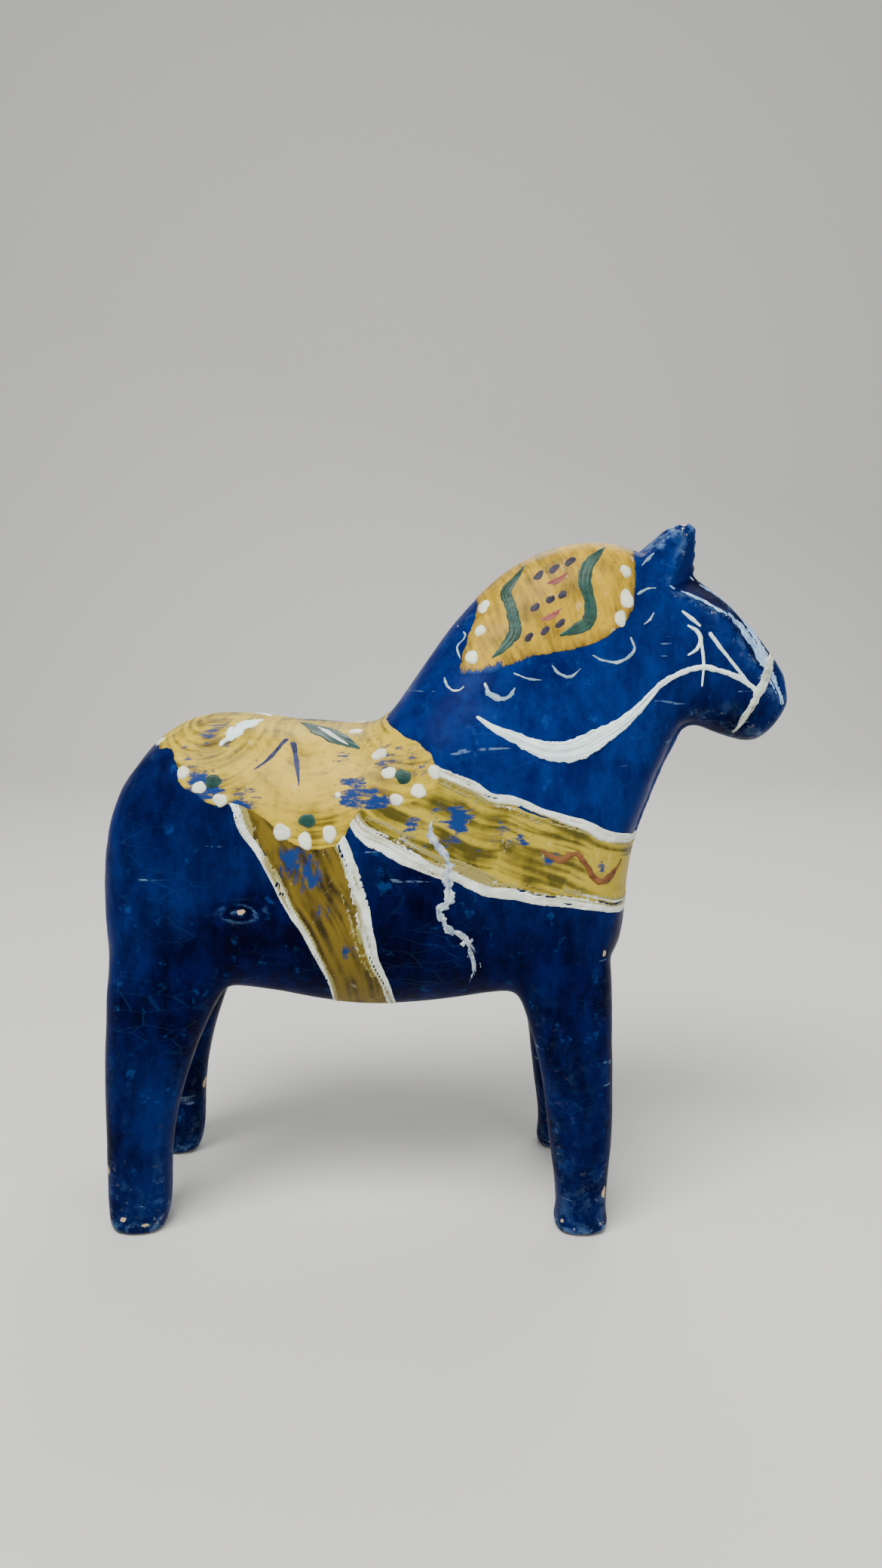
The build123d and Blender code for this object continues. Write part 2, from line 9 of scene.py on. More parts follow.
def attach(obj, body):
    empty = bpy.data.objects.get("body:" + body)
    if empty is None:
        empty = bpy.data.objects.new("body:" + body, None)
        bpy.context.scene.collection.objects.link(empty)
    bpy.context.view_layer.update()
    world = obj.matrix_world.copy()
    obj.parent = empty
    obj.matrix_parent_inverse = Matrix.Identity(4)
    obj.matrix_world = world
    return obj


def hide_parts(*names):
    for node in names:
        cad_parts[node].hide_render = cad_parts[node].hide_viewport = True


# Looks of the painted wooden horse. All shapes are worked out in millimetres and written in metres.
MM = 0.001
COAT = 0.30          # ground coat over the wood
COAT_LIFT = 0.02     # how far the worked surface stands off the CAD coat
VOXEL = 0.00098      # size of the coat's mesh cells, in metres
SHIFT = 2.0          # places below are measured from a line 2 mm behind the middle
SOFT_ROUNDS = 26     # rounds of smoothing where the knife left the wood soft
SAG = 2.0            # how far the belly hangs below the CAD shape
FACET_DEPTH = 0.9    # long shallow knife facets
RIPPLE_DEPTH = 0.16  # and the unevenness on them
PAINT_SINK = 0.10    # how far each paint skin goes into the coat
EAVES = 0.18         # share of its thickness that paint has at its very edge
SOLE_CUT = 0.62      # height of the bare soles' edge
CHIP_DEPTH = 0.22    # how deep the bare chips go into the coat

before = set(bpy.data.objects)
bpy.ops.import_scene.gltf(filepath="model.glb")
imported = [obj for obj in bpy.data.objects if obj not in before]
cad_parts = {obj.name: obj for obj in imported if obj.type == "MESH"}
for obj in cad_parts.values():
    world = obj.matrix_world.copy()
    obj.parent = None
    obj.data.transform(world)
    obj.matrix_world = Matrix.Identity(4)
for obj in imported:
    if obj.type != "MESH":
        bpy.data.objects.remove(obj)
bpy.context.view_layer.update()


# ---------------------------------------------------------------- noise
def lattice(ix, iy, iz, seed):
    """A repeatable random number from 0 to 1 for each whole-number cell."""
    n = (ix * 374761393 + iy * 668265263 + iz * 2147483647 + seed * 974634777).astype(np.int64)
    n = (n ^ (n >> 13)) * 1274126177
    n = n ^ (n >> 16)
    return (n & 0xFFFFFF).astype(np.float64) / float(0xFFFFFF)


def noise(p, scale, seed):
    """Smooth noise from 0 to 1 at points p, with cells of the given size or sizes in millimetres."""
    q = p / np.asarray(scale, float)
    i = np.floor(q).astype(np.int64)
    f = q - i
    f = f * f * (3 - 2 * f)
    total = np.zeros(len(p))
    for dx in (0, 1):
        wx = f[:, 0] if dx else 1 - f[:, 0]
        for dy in (0, 1):
            wy = f[:, 1] if dy else 1 - f[:, 1]
            for dz in (0, 1):
                wz = f[:, 2] if dz else 1 - f[:, 2]
                total += wx * wy * wz * lattice(i[:, 0] + dx, i[:, 1] + dy, i[:, 2] + dz, seed)
    return total


def layered(p, scale, seed, layers=3):
    """Noise with finer noise on top, from 0 to 1 about a middle of 0.5."""
    total = np.zeros(len(p))
    weight = 0
    for k in range(layers):
        total += noise(p, np.asarray(scale, float) / 2 ** k, seed + 17 * k) / 2 ** k
        weight += 1 / 2 ** k
    return total / weight


def ease(low, high, value):
    """0 at low, 1 at high and smooth between them, in either direction."""
    t = np.clip((value - low) / (high - low), 0, 1)
    return t * t * (3 - 2 * t)


# ---------------------------------------------------------------- meshes
def linked(obj):
    """Puts a new object in the scene."""
    bpy.context.scene.collection.objects.link(obj)
    return obj


def mesh_arrays(mesh):
    """The points, in millimetres, and the triangles of a mesh."""
    v = np.zeros(len(mesh.vertices) * 3)
    mesh.vertices.foreach_get("co", v)
    mesh.calc_loop_triangles()
    t = np.zeros(len(mesh.loop_triangles) * 3, np.int32)
    mesh.loop_triangles.foreach_get("vertices", t)
    return v.reshape(-1, 3) / MM + (SHIFT, 0, 0), t.reshape(-1, 3).astype(np.int64)


def vertex_normals(v, t):
    a, b, c = v[t[:, 0]], v[t[:, 1]], v[t[:, 2]]
    n = np.cross(b - a, c - a)
    out = np.zeros_like(v)
    for k in range(3):
        np.add.at(out, t[:, k], n)
    return out / np.maximum(np.linalg.norm(out, axis=1), 1e-12)[:, None]


def edges_of(t):
    e = np.concatenate([t[:, [0, 1]], t[:, [1, 2]], t[:, [2, 0]]])
    return np.unique(np.sort(e, axis=1), axis=0)


def smooth(v, e, rounds, weight):
    """Moves each vertex towards the middle of its neighbours, by its own weight."""
    count = np.zeros(len(v))
    np.add.at(count, e[:, 0], 1)
    np.add.at(count, e[:, 1], 1)
    for _ in range(rounds):
        total = np.zeros_like(v)
        np.add.at(total, e[:, 0], v[e[:, 1]])
        np.add.at(total, e[:, 1], v[e[:, 0]])
        v = v + (total / np.maximum(count, 1)[:, None] - v) * weight[:, None]
    return v


def spread(values, e, rounds):
    """Blurs a value over the mesh."""
    return smooth(values[:, None], e, rounds, np.full(len(values), 0.6))[:, 0]


def new_object(name, v, t, material, attributes=None):
    """A visible piece from points and triangles, riding the horse, with a value of each kind per point."""
    mesh = bpy.data.meshes.new(name)
    mesh.from_pydata(((v - (SHIFT, 0, 0)) * MM).tolist(), [], t.tolist())
    mesh.update()
    mesh.shade_smooth()
    for key, value in (attributes or {}).items():
        layer = mesh.attributes.new(key, "FLOAT", "POINT")
        layer.data.foreach_set("value", np.asarray(value, np.float32))
    obj = linked(bpy.data.objects.new(name, mesh))
    mesh.materials.append(material)
    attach(obj, "root")
    return obj


# ---------------------------------------------------------------- the coat's surface
def remeshed_body():
    """The body as an even mesh, closed all round."""
    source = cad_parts["carved_body"]
    obj = linked(bpy.data.objects.new("work", source.data.copy()))
    modifier = obj.modifiers.new("even", "REMESH")
    modifier.mode = "VOXEL"
    modifier.voxel_size = VOXEL
    result = obj.evaluated_get(bpy.context.evaluated_depsgraph_get()).to_mesh()
    v, t = mesh_arrays(result)
    obj.to_mesh_clear()
    bpy.data.objects.remove(obj)
    return v, t


body_v, body_t = remeshed_body()
body_e = edges_of(body_t)

# Blend the hips and shoulders into the sides, as a knife leaves them, and keep the head's facets.
x, y, z = body_v.T
hip = ease(52, 66, z) * ease(116, 98, z) * ease(10, 24, np.abs(y)) * ease(-34, -48, x)
shoulder = ease(52, 66, z) * ease(118, 100, z) * ease(10, 24, np.abs(y)) * ease(2, 12, x)
withers = ease(100, 112, z) * ease(141, 132, z) * ease(12, 24, np.abs(y))
withers = withers * ease(-40, -24, x) * ease(30, 14, x)
arch = ease(48, 58, z) * ease(76, 68, z) * 0.5 * np.maximum(ease(-50, -58, x), ease(8, 16, x))
chest = ease(58, 72, z) * ease(116, 98, z) * ease(36, 44, x)
seat = ease(48, 62, z) * ease(122, 100, z) * ease(-84, -92, x)
soften = np.clip(0.08 + np.maximum.reduce([hip, shoulder, withers, arch, chest, seat]), 0, 0.9)
soften *= ease(1.5, 5, z)
fixed_v = body_v.copy()
body_v = smooth(body_v, body_e, SOFT_ROUNDS, soften * 0.62)
body_v[:, 2] = np.where(fixed_v[:, 2] < 1.5, fixed_v[:, 2], body_v[:, 2])

# Let the belly hang a little, most of all in its middle.
x, y, z = body_v.T
belly = np.exp(-((x + 18) / 27) ** 2) * ease(88, 66, z) * ease(34, 16, np.abs(y)) * ease(50, 60, z)
body_v[:, 2] -= SAG * belly

# Long shallow knife facets, and a little unevenness.
n = vertex_normals(body_v, body_t)
facet = layered(body_v, (16, 16, 11), 3, 2) - 0.5
ripple = noise(body_v, (5, 5, 4), 9) - 0.5
low_fade = ease(3, 9, body_v[:, 2]) * (0.30 + 0.70 * ease(60, 84, body_v[:, 2]))
worked = (facet * FACET_DEPTH + ripple * RIPPLE_DEPTH) * low_fade
body_v = body_v + n * (worked + COAT + COAT_LIFT)[:, None]


def bulge(v, centre, radius, height, squash=(1, 1, 1)):
    """A smooth bump at a point, or a dent where height is negative."""
    d = np.linalg.norm((v - np.asarray(centre)) / (radius * np.asarray(squash)), axis=1)
    return height * np.exp(-d * d * 2)


def ring(v, centre, radius, width, height, squash=(1, 1, 1)):
    """A smooth ridge round a point, or a groove where height is negative."""
    d = np.linalg.norm((v - np.asarray(centre)) / np.asarray(squash), axis=1)
    return height * np.exp(-((d - radius) / width) ** 2)


tree = BVHTree.FromPolygons([tuple(p) for p in body_v], body_t.tolist())


def side_point(px, pz):
    """The point of the surface seen from the right side at x and z."""
    hit = tree.ray_cast(Vector((px, -90, pz)), Vector((0, 1, 0)))[0]
    if hit is None:
        hit = tree.find_nearest(Vector((px, -6, pz)))[0]
    return np.array(hit)


def snap(p):
    """The point of the surface that is nearest to p."""
    return np.array(tree.find_nearest(Vector(p))[0])


# The knot in the flank: a low swelling round a cracked eye, with checks running along the grain.
knot = side_point(-54.8, 94)
n = vertex_normals(body_v, body_t)
shape = bulge(body_v, knot, 5.0, 0.45, (1.7, 1, 1)) + ring(body_v, knot, 1.7, 0.5, -0.5, (1.5, 1, 1))
for dx, dz, long in ((-6, 1.6, 5.5), (-7, -2.2, 4.5), (7, 1.4, 4.5), (-2, -8.5, 8), (-3, -5, 5)):
    shape += bulge(body_v, knot + (dx, 0, dz), 1.0, -0.38, (long, 3, 0.55))
shape += bulge(body_v, snap((66.8, -9, 198.2)), 1.4, -0.5) + bulge(body_v, snap((70, -8, 199)), 1.2, -0.35)
body_v = body_v + n * shape[:, None]
body_n = vertex_normals(body_v, body_t)

# How sharply each place turns outwards: worn edges take their rubbing from it.
lap = smooth(body_v, body_e, 3, np.full(len(body_v), 0.6)) - body_v
sharp = np.clip(-np.einsum("ij,ij->i", lap, body_n) / 0.20, -1, 2)
sharp = spread(sharp, body_e, 2)
tree = BVHTree.FromPolygons([tuple(p) for p in body_v], body_t.tolist())


# ---------------------------------------------------------------- paint layers
def refined(v, nrm, t):
    """Splits every triangle in four."""
    e = np.sort(np.concatenate([t[:, [0, 1]], t[:, [1, 2]], t[:, [2, 0]]]), axis=1)
    u, inv = np.unique(e, axis=0, return_inverse=True)
    inv = inv.reshape(-1)
    mid = (v[u[:, 0]] + v[u[:, 1]]) / 2
    mid_n = nrm[u[:, 0]] + nrm[u[:, 1]]
    mid_n /= np.linalg.norm(mid_n, axis=1)[:, None]
    m = len(t)
    ab, bc, ca = inv[:m] + len(v), inv[m:2 * m] + len(v), inv[2 * m:] + len(v)
    t2 = np.concatenate([
        np.stack([t[:, 0], ab, ca], 1), np.stack([ab, t[:, 1], bc], 1),
        np.stack([ca, bc, t[:, 2]], 1), np.stack([ab, bc, ca], 1)])
    return np.concatenate([v, mid]), np.concatenate([nrm, mid_n]), t2


def open_edges(t):
    """The edges that only one triangle has, in that triangle's order."""
    e = np.concatenate([t[:, [0, 1]], t[:, [1, 2]], t[:, [2, 0]]])
    _, inv, count = np.unique(np.sort(e, axis=1), axis=0, return_inverse=True, return_counts=True)
    return e[count[inv.reshape(-1)] == 1]


def compact(v, nrm, t):
    """Drops the points that no triangle has."""
    used, inv = np.unique(t, return_inverse=True)
    return v[used], nrm[used], inv.reshape(t.shape)


def clipped(v, nrm, t, f):
    """Keeps the part of a mesh where f is above zero, cut cleanly along f = 0. Normals, or any other
    values that the points have, are cut with it."""
    f = np.where(np.abs(f) < 1e-3, 1e-3, f)
    inside = f > 0
    count = inside[t].sum(1)
    whole = t[count == 3]
    parts = t[(count == 1) | (count == 2)]
    pf = inside[parts]
    one = pf.sum(1) == 1
    lone = np.where(one, np.argmax(pf, 1), np.argmin(pf, 1))
    rows = np.arange(len(parts))
    a = parts[rows, lone]
    b = parts[rows, (lone + 1) % 3]
    c = parts[rows, (lone + 2) % 3]
    e = np.sort(np.concatenate([np.stack([a, b], 1), np.stack([a, c], 1)]), axis=1)
    u, inv = np.unique(e, axis=0, return_inverse=True)
    inv = inv.reshape(-1)
    s = (f[u[:, 0]] / (f[u[:, 0]] - f[u[:, 1]]))[:, None]
    cut_v = v[u[:, 0]] * (1 - s) + v[u[:, 1]] * s
    cut_n = nrm[u[:, 0]] * (1 - s) + nrm[u[:, 1]] * s
    ab, ac = inv[:len(parts)] + len(v), inv[len(parts):] + len(v)
    out = [whole, np.stack([a, ab, ac], 1)[one]]
    two = ~one
    out.append(np.stack([ab, b, c], 1)[two])
    out.append(np.stack([ab, c, ac], 1)[two])
    v2 = np.concatenate([v, cut_v])
    n2 = np.concatenate([nrm, cut_n])
    f2 = np.concatenate([f, np.zeros(len(cut_v))])
    t2 = np.concatenate(out)
    used, inv = np.unique(t2, return_inverse=True)
    return v2[used], n2[used], inv.reshape(t2.shape), f2[used]


def dense(path, closed=False, step=0.8):
    """A smooth line through the points, as closely spaced points."""
    p = np.asarray(path, float)
    if closed:
        p = np.concatenate([p[-1:], p, p[:2]])
    else:
        p = np.concatenate([2 * p[:1] - p[1:2], p, 2 * p[-1:] - p[-2:-1]])
    out = []
    for i in range(1, len(p) - 2):
        p0, p1, p2, p3 = p[i - 1], p[i], p[i + 1], p[i + 2]
        k = max(2, int(np.linalg.norm(p2 - p1) / step))
        s = np.arange(k)[:, None] / k
        out.append(0.5 * (2 * p1 + (p2 - p0) * s + (2 * p0 - 5 * p1 + 4 * p2 - p3) * s ** 2
                          + (3 * p1 - p0 - 3 * p2 + p3) * s ** 3))
    if not closed:
        out.append(p[-2:-1])
    return np.concatenate(out)


def near_segments(p, line):
    """For each point: distance to a line, how far along it, and which side it is on."""
    best = np.full(len(p), 1e9)
    along = np.zeros(len(p))
    across = np.zeros(len(p))
    seg = np.diff(line, axis=0)
    length = np.linalg.norm(seg, axis=1)
    start = np.concatenate([[0], np.cumsum(length)])
    for i in range(len(seg)):
        if length[i] < 1e-9:
            continue
        d = p - line[i]
        s = np.clip(d @ seg[i] / length[i] ** 2, 0, 1)
        off = d - s[:, None] * seg[i]
        dist = np.linalg.norm(off, axis=1)
        hit = dist < best
        best = np.where(hit, dist, best)
        along = np.where(hit, (start[i] + s * length[i]) / start[-1], along)
        side = seg[i][0] * off[:, -1] - seg[i][-1] * off[:, 0]
        across = np.where(hit, np.sign(side) * dist, across)
    return best, along, across, start[-1]


def polygon_field(p2, loop):
    """Distance inside a closed outline in x and z, negative outside."""
    line = np.concatenate([loop, loop[:1]])
    dist = near_segments(p2, line)[0]
    inside = np.zeros(len(p2), bool)
    for (x0, z0), (x1, z1) in zip(line[:-1], line[1:]):
        if z0 == z1:
            continue
        crosses = (p2[:, 1] > min(z0, z1)) & (p2[:, 1] <= max(z0, z1))
        at = x0 + (p2[:, 1] - z0) / (z1 - z0) * (x1 - x0)
        inside ^= crosses & (p2[:, 0] < at)
    return np.where(inside, dist, -dist)


def mirrored(p):
    """Points with the far side folded onto the near one."""
    return np.stack([p[:, 0], -np.abs(p[:, 1]), p[:, 2]], 1)


class Marks:
    """A set of brush marks on both sides of the horse: one field, and how thick the paint lies."""

    def __init__(self):
        self.items = []

    def stroke(self, path, widths, seed=0, rough=0.12, dry=0.0, ridges=1.0):
        """A brush stroke through side points (x, z) or free points (x, y, z), with widths along it."""
        pts = np.array([side_point(*q) if len(q) == 2 else snap(q) for q in path])
        self.items.append(("stroke", dense(pts), np.asarray(widths, float), seed, rough, dry, ridges))
        return self

    def dot(self, at, wide, tall, turn=0.0, seed=0, rough=0.16):
        centre = side_point(*at) if len(at) == 2 else snap(at)
        self.items.append(("dot", centre, wide, tall, turn, seed, rough))
        return self

    def reach(self):
        low, high = [], []
        for item in self.items:
            pts = item[1].reshape(-1, 3)
            pad = item[2].max() + 1.5 if item[0] == "stroke" else max(item[2], item[3]) + 1.5
            low.append(pts.min(0) - pad)
            high.append(pts.max(0) + pad)
        return low, high

    def field(self, p):
        """The field and the thickness factor at points p."""
        q = mirrored(p)
        f = np.full(len(p), -50.0)
        thick = np.ones(len(p))
        for kind, *item in self.items:
            if kind == "stroke":
                ok, measure = self.near_stroke(q, *item[:2]), self.stroke_field
            else:
                ok, measure = self.near_dot(q, *item[:3]), self.dot_field
            if not ok.any():
                continue
            g, lift = measure(p[ok], q[ok], *item)
            better = g > f[ok]
            idx = np.nonzero(ok)[0][better]
            f[idx] = g[better]
            thick[idx] = lift[better]
        return f, thick

    @staticmethod
    def near_stroke(q, line, widths):
        low, high = line.min(0) - widths.max() - 1, line.max(0) + widths.max() + 1
        return np.all((q > low) & (q < high), axis=1)

    @staticmethod
    def near_dot(q, centre, wide, tall):
        return np.linalg.norm(q - centre, axis=1) < max(wide, tall) + 1.2

    @staticmethod
    def stroke_field(p, q, line, widths, seed, rough, dry, ridges):
        """A stroke with a wandering edge, bristle ridges and a tail where the brush ran dry."""
        dist, along, across, length = near_segments(q, line)
        half = np.interp(along, np.linspace(0, 1, len(widths)), widths) / 2
        wobble = (noise(p, 1.6, seed + 5) - 0.5) * 2 * rough
        wobble += (noise(p, 0.6, seed + 6) - 0.5) * rough
        g = half * (1 + wobble) + wobble * 0.35 - dist
        hair = np.stack([along * length / 9, across / 0.30, np.zeros(len(q))], 1)
        streak = noise(hair, 1.0, seed + 11) * 0.7 + noise(hair, (1, 0.5, 1), seed + 12) * 0.3
        if dry > 0:
            g = np.minimum(g, (streak - dry * ease(0.35, 1.0, along)) * 2.2)
        return g, 1 + (streak - 0.5) * ridges

    @staticmethod
    def dot_field(p, q, centre, wide, tall, turn, seed, rough):
        """A touch of the brush: an uneven round blob that is thickest in its middle."""
        d = q - centre
        c, s = math.cos(turn), math.sin(turn)
        a = d[:, 0] * c + d[:, 2] * s
        b = -d[:, 0] * s + d[:, 2] * c
        angle = np.arctan2(b, a)
        blob = 1 + rough * (np.sin(angle * 2 + seed) * 0.5 + np.sin(angle * 3 + seed * 2.3) * 0.35
                            + np.sin(angle * 5 + seed * 1.7) * 0.2)
        rad = np.sqrt((a / wide) ** 2 + (b / tall) ** 2 + (d[:, 1] / max(wide, tall)) ** 2)
        lift = 1.25 - 0.4 * np.clip(rad, 0, 1) ** 2 + 0.25 * (noise(p, 0.9, seed + 3) - 0.5)
        return (blob - rad) * min(wide, tall), lift


def layer(name, stands_for, slot, material, field, boxes, splits, thickness, base=0.0, edge=0.45,
          extra=None):
    """Builds one paint layer as a closed thin skin lying on the coat."""
    q = mirrored(body_v)
    near = np.zeros(len(body_v), bool)
    for low, high in boxes:
        near |= np.all((q > np.asarray(low) - 0.5) & (q < np.asarray(high) + 0.5), axis=1)
    t = body_t[near[body_t].any(1)]
    v, nrm, t = compact(body_v, body_n, t)
    for _ in range(splits):
        v, nrm, t = refined(v, nrm, t)
        f, _ = field(v)
        t = t[(f[t] > -1.6).any(1)]
        v, nrm, t = compact(v, nrm, t)
    f, _ = field(v)
    v, nrm, t, f = clipped(v, nrm, t, f)
    nrm /= np.linalg.norm(nrm, axis=1)[:, None]
    _, thick = field(v)
    rise = (EAVES + (1 - EAVES) * ease(0, edge, f)) * thickness * thick + base
    top = v + nrm * rise[:, None]
    under = v - nrm * PAINT_SINK
    rim = open_edges(t)
    k = len(v)
    walls = np.concatenate([
        np.stack([rim[:, 0], rim[:, 0] + k, rim[:, 1] + k], 1),
        np.stack([rim[:, 0], rim[:, 1] + k, rim[:, 1]], 1)])
    tri = np.concatenate([t, t[:, ::-1] + k, walls])
    attributes = {"lift": np.concatenate([thick, thick])}
    for key_name, fn in (extra or {}).items():
        value = fn(v)
        attributes[key_name] = np.concatenate([value, value])
    obj = new_object(name, np.concatenate([top, under]), tri, material, attributes)
    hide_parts(stands_for)
    print(name, len(tri), "triangles")


# ---------------------------------------------------------------- materials
class Shader:
    """A small helper for writing node materials."""

    def __init__(self, name):
        self.material = bpy.data.materials.new(name)
        self.material.use_nodes = True
        self.tree = self.material.node_tree
        self.bsdf = self.tree.nodes["Principled BSDF"]
        self.bsdf.inputs["Specular IOR Level"].default_value = 0.16
        self.coord = self.tree.nodes.new("ShaderNodeTexCoord").outputs["Object"]

    def link(self, value, socket):
        """Joins a socket to another one, or sets its value."""
        if isinstance(value, bpy.types.NodeSocket):
            self.tree.links.new(value, socket)
        else:
            socket.default_value = value

    def math(self, kind, a, b=0.0, clamp=False):
        node = self.tree.nodes.new("ShaderNodeMath")
        node.operation = kind
        node.use_clamp = clamp
        self.link(a, node.inputs[0])
        self.link(b, node.inputs[1])
        return node.outputs[0]

    def times(self, a, b, clamp=False):
        return self.math("MULTIPLY", a, b, clamp)

    def plus(self, a, b):
        return self.math("ADD", a, b)

    def minus(self, a, b):
        return self.math("SUBTRACT", a, b)

    def vector(self, kind, a, b, c=None):
        node = self.tree.nodes.new("ShaderNodeVectorMath")
        node.operation = kind
        self.link(a, node.inputs[0])
        self.link(b, node.inputs[1])
        if c is not None:
            self.link(c, node.inputs[2])
        return node

    def noise(self, scale, detail=4.0, stretch=(1, 1, 1), rough=0.55, warp=0.0, offset=(0, 0, 0)):
        mapping = self.tree.nodes.new("ShaderNodeMapping")
        self.link(self.coord, mapping.inputs["Vector"])
        mapping.inputs["Scale"].default_value = stretch
        mapping.inputs["Location"].default_value = offset
        node = self.tree.nodes.new("ShaderNodeTexNoise")
        self.link(mapping.outputs[0], node.inputs["Vector"])
        node.inputs["Scale"].default_value = scale
        node.inputs["Detail"].default_value = detail
        node.inputs["Roughness"].default_value = rough
        node.inputs["Distortion"].default_value = warp
        return node.outputs["Fac"]

    def cracks(self, scale, stretch=(1, 1, 1), offset=(0, 0, 0)):
        """Distance to the edge of a cell, in cell units, on slightly wandering coordinates."""
        warp = self.tree.nodes.new("ShaderNodeTexNoise")
        self.link(self.coord, warp.inputs["Vector"])
        warp.inputs["Scale"].default_value = scale * 0.7
        add = self.vector("MULTIPLY_ADD", warp.outputs["Color"], (0.6 / scale,) * 3, self.coord)
        mapping = self.tree.nodes.new("ShaderNodeMapping")
        self.link(add.outputs[0], mapping.inputs["Vector"])
        mapping.inputs["Scale"].default_value = stretch
        mapping.inputs["Location"].default_value = offset
        node = self.tree.nodes.new("ShaderNodeTexVoronoi")
        node.feature = "DISTANCE_TO_EDGE"
        self.link(mapping.outputs[0], node.inputs["Vector"])
        node.inputs["Scale"].default_value = scale
        return node.outputs["Distance"]

    def band(self, value, low, high, out_low=0.0, out_high=1.0):
        """Maps low..high to out_low..out_high, smoothly and clamped."""
        node = self.tree.nodes.new("ShaderNodeMapRange")
        node.interpolation_type = "SMOOTHSTEP"
        self.link(value, node.inputs["Value"])
        node.inputs["From Min"].default_value = low
        node.inputs["From Max"].default_value = high
        node.inputs["To Min"].default_value = out_low
        node.inputs["To Max"].default_value = out_high
        return node.outputs["Result"]

    def mix(self, fac, a, b):
        node = self.tree.nodes.new("ShaderNodeMix")
        node.data_type = "RGBA"
        self.link(fac, node.inputs["Factor"])
        self.link(self.solid(a), node.inputs[6])
        self.link(self.solid(b), node.inputs[7])
        return node.outputs[2]

    def solid(self, colour):
        """A colour for a socket, from another socket or from red, green and blue."""
        return colour if isinstance(colour, bpy.types.NodeSocket) else (*colour, 1.0)

    def attribute(self, name):
        node = self.tree.nodes.new("ShaderNodeAttribute")
        node.attribute_name = name
        return node.outputs["Fac"]

    def finish(self, colour, roughness, height=None, strength=0.3, distance=0.0002):
        self.link(self.solid(colour), self.bsdf.inputs["Base Color"])
        self.link(roughness, self.bsdf.inputs["Roughness"])
        if height is not None:
            bump = self.tree.nodes.new("ShaderNodeBump")
            bump.inputs["Strength"].default_value = strength
            bump.inputs["Distance"].default_value = distance
            self.link(height, bump.inputs["Height"])
            self.link(bump.outputs[0], self.bsdf.inputs["Normal"])
        return self.material


KNOT_OVAL = (480, 500, 1000)  # turns metres from the knot's eye into ring distance, long along the grain
RINGS_PER_MM = 3.4


def blue_material():
    s = Shader("blue_coat")
    tone = s.attribute("tone")
    wear = s.attribute("wear")
    chip = s.attribute("chip")
    mottle = s.plus(s.times(s.noise(55, 6, rough=0.62), 0.45),
                    s.times(s.noise(190, 5, (1, 1, 0.5), rough=0.7, offset=(8, 1, 2)), 0.55))
    fine = s.noise(330, 4, rough=0.6)
    # the blue runs by tone from a shaded copy to a lit copy: painted light and shade over random mottling
    deep = s.mix(s.band(mottle, 0.40, 0.62), (0.00005, 0.0003, 0.010), (0.0001, 0.0022, 0.048))
    bright = s.mix(s.band(mottle, 0.36, 0.66), (0.00008, 0.0046, 0.068), (0.0010, 0.0215, 0.150))
    colour = s.mix(tone, deep, bright)
    speckle = s.band(s.noise(210, 3, rough=0.7), 0.60, 0.72)
    colour = s.mix(s.times(speckle, 0.32), colour, (0.010, 0.070, 0.26))
    # fine checks in the paint, along the grain and across it
    check = s.band(s.cracks(210, (0.35, 0.35, 1.2)), 0.0, 0.045, 1.0, 0.0)
    where = s.band(s.noise(42, 3, offset=(3, 1, 2)), 0.50, 0.62)
    check = s.times(check, where)
    colour = s.mix(s.times(check, 0.10), colour, (0.03, 0.09, 0.22))
    scratch = s.band(s.noise(34, 2, (1.0, 1.0, 14), rough=0.4, warp=0.6), 0.700, 0.712)
    scratch = s.times(scratch, s.band(fine, 0.45, 0.6))
    colour = s.mix(s.times(scratch, 0.4), colour, (0.20, 0.32, 0.46))
    rub = s.times(wear, s.band(s.noise(260, 5, rough=0.7), 0.44, 0.62))
    colour = s.mix(s.times(rub, 0.8, True), colour, (0.12, 0.25, 0.47))
    bare = s.times(wear, s.band(s.noise(420, 4, offset=(1, 5, 0), rough=0.7), 0.60, 0.66))
    colour = s.mix(s.times(bare, 0.85, True), colour, (0.62, 0.62, 0.55))
    colour = s.mix(s.band(chip, 0.45, 0.55), colour, (0.50, 0.36, 0.22))
    # the knot: dark rings round its eye, with paler paint between them
    eye = s.vector("SUBTRACT", s.coord, tuple((knot - (SHIFT, 0, 0)) * MM))
    oval = s.vector("MULTIPLY", eye.outputs[0], KNOT_OVAL)
    far = s.vector("LENGTH", oval.outputs[0], (0, 0, 0)).outputs["Value"]
    wander = s.plus(far, s.times(s.noise(160, 3, (0.4, 1, 1)), 5.0))
    wave = s.math("SINE", s.times(wander, RINGS_PER_MM))
    rings = s.band(wave, 0.25, 0.95)
    rings = s.times(rings, s.band(far, 5.2, 1.0))
    rings = s.times(rings, s.band(s.noise(300, 3, (0.5, 1, 1), offset=(5, 5, 5)), 0.40, 0.60))
    colour = s.mix(s.times(rings, 0.85), colour, (0.0001, 0.0005, 0.008))
    crest = s.band(wave, -0.1, -0.9)
    crest = s.times(crest, s.band(far, 4.6, 1.2))
    crest = s.times(crest, s.band(s.noise(380, 3, (0.5, 1, 1), offset=(2, 5, 3)), 0.42, 0.58))
    colour = s.mix(s.times(crest, 0.55), colour, (0.06, 0.13, 0.25))
    rough = s.band(s.noise(120, 4), 0.3, 0.7, 0.30, 0.46)
    s.bsdf.inputs["Specular IOR Level"].default_value = 0.08
    s.bsdf.inputs["IOR"].default_value = 1.25
    height = s.plus(s.times(s.noise(900, 3), 0.35), s.times(s.noise(240, 3, (0.5, 0.5, 1.5)), 0.65))
    height = s.minus(height, s.times(check, 0.5))
    height = s.minus(height, s.times(rings, 2.5))
    return s.finish(colour, rough, height, 0.35, 0.00022)


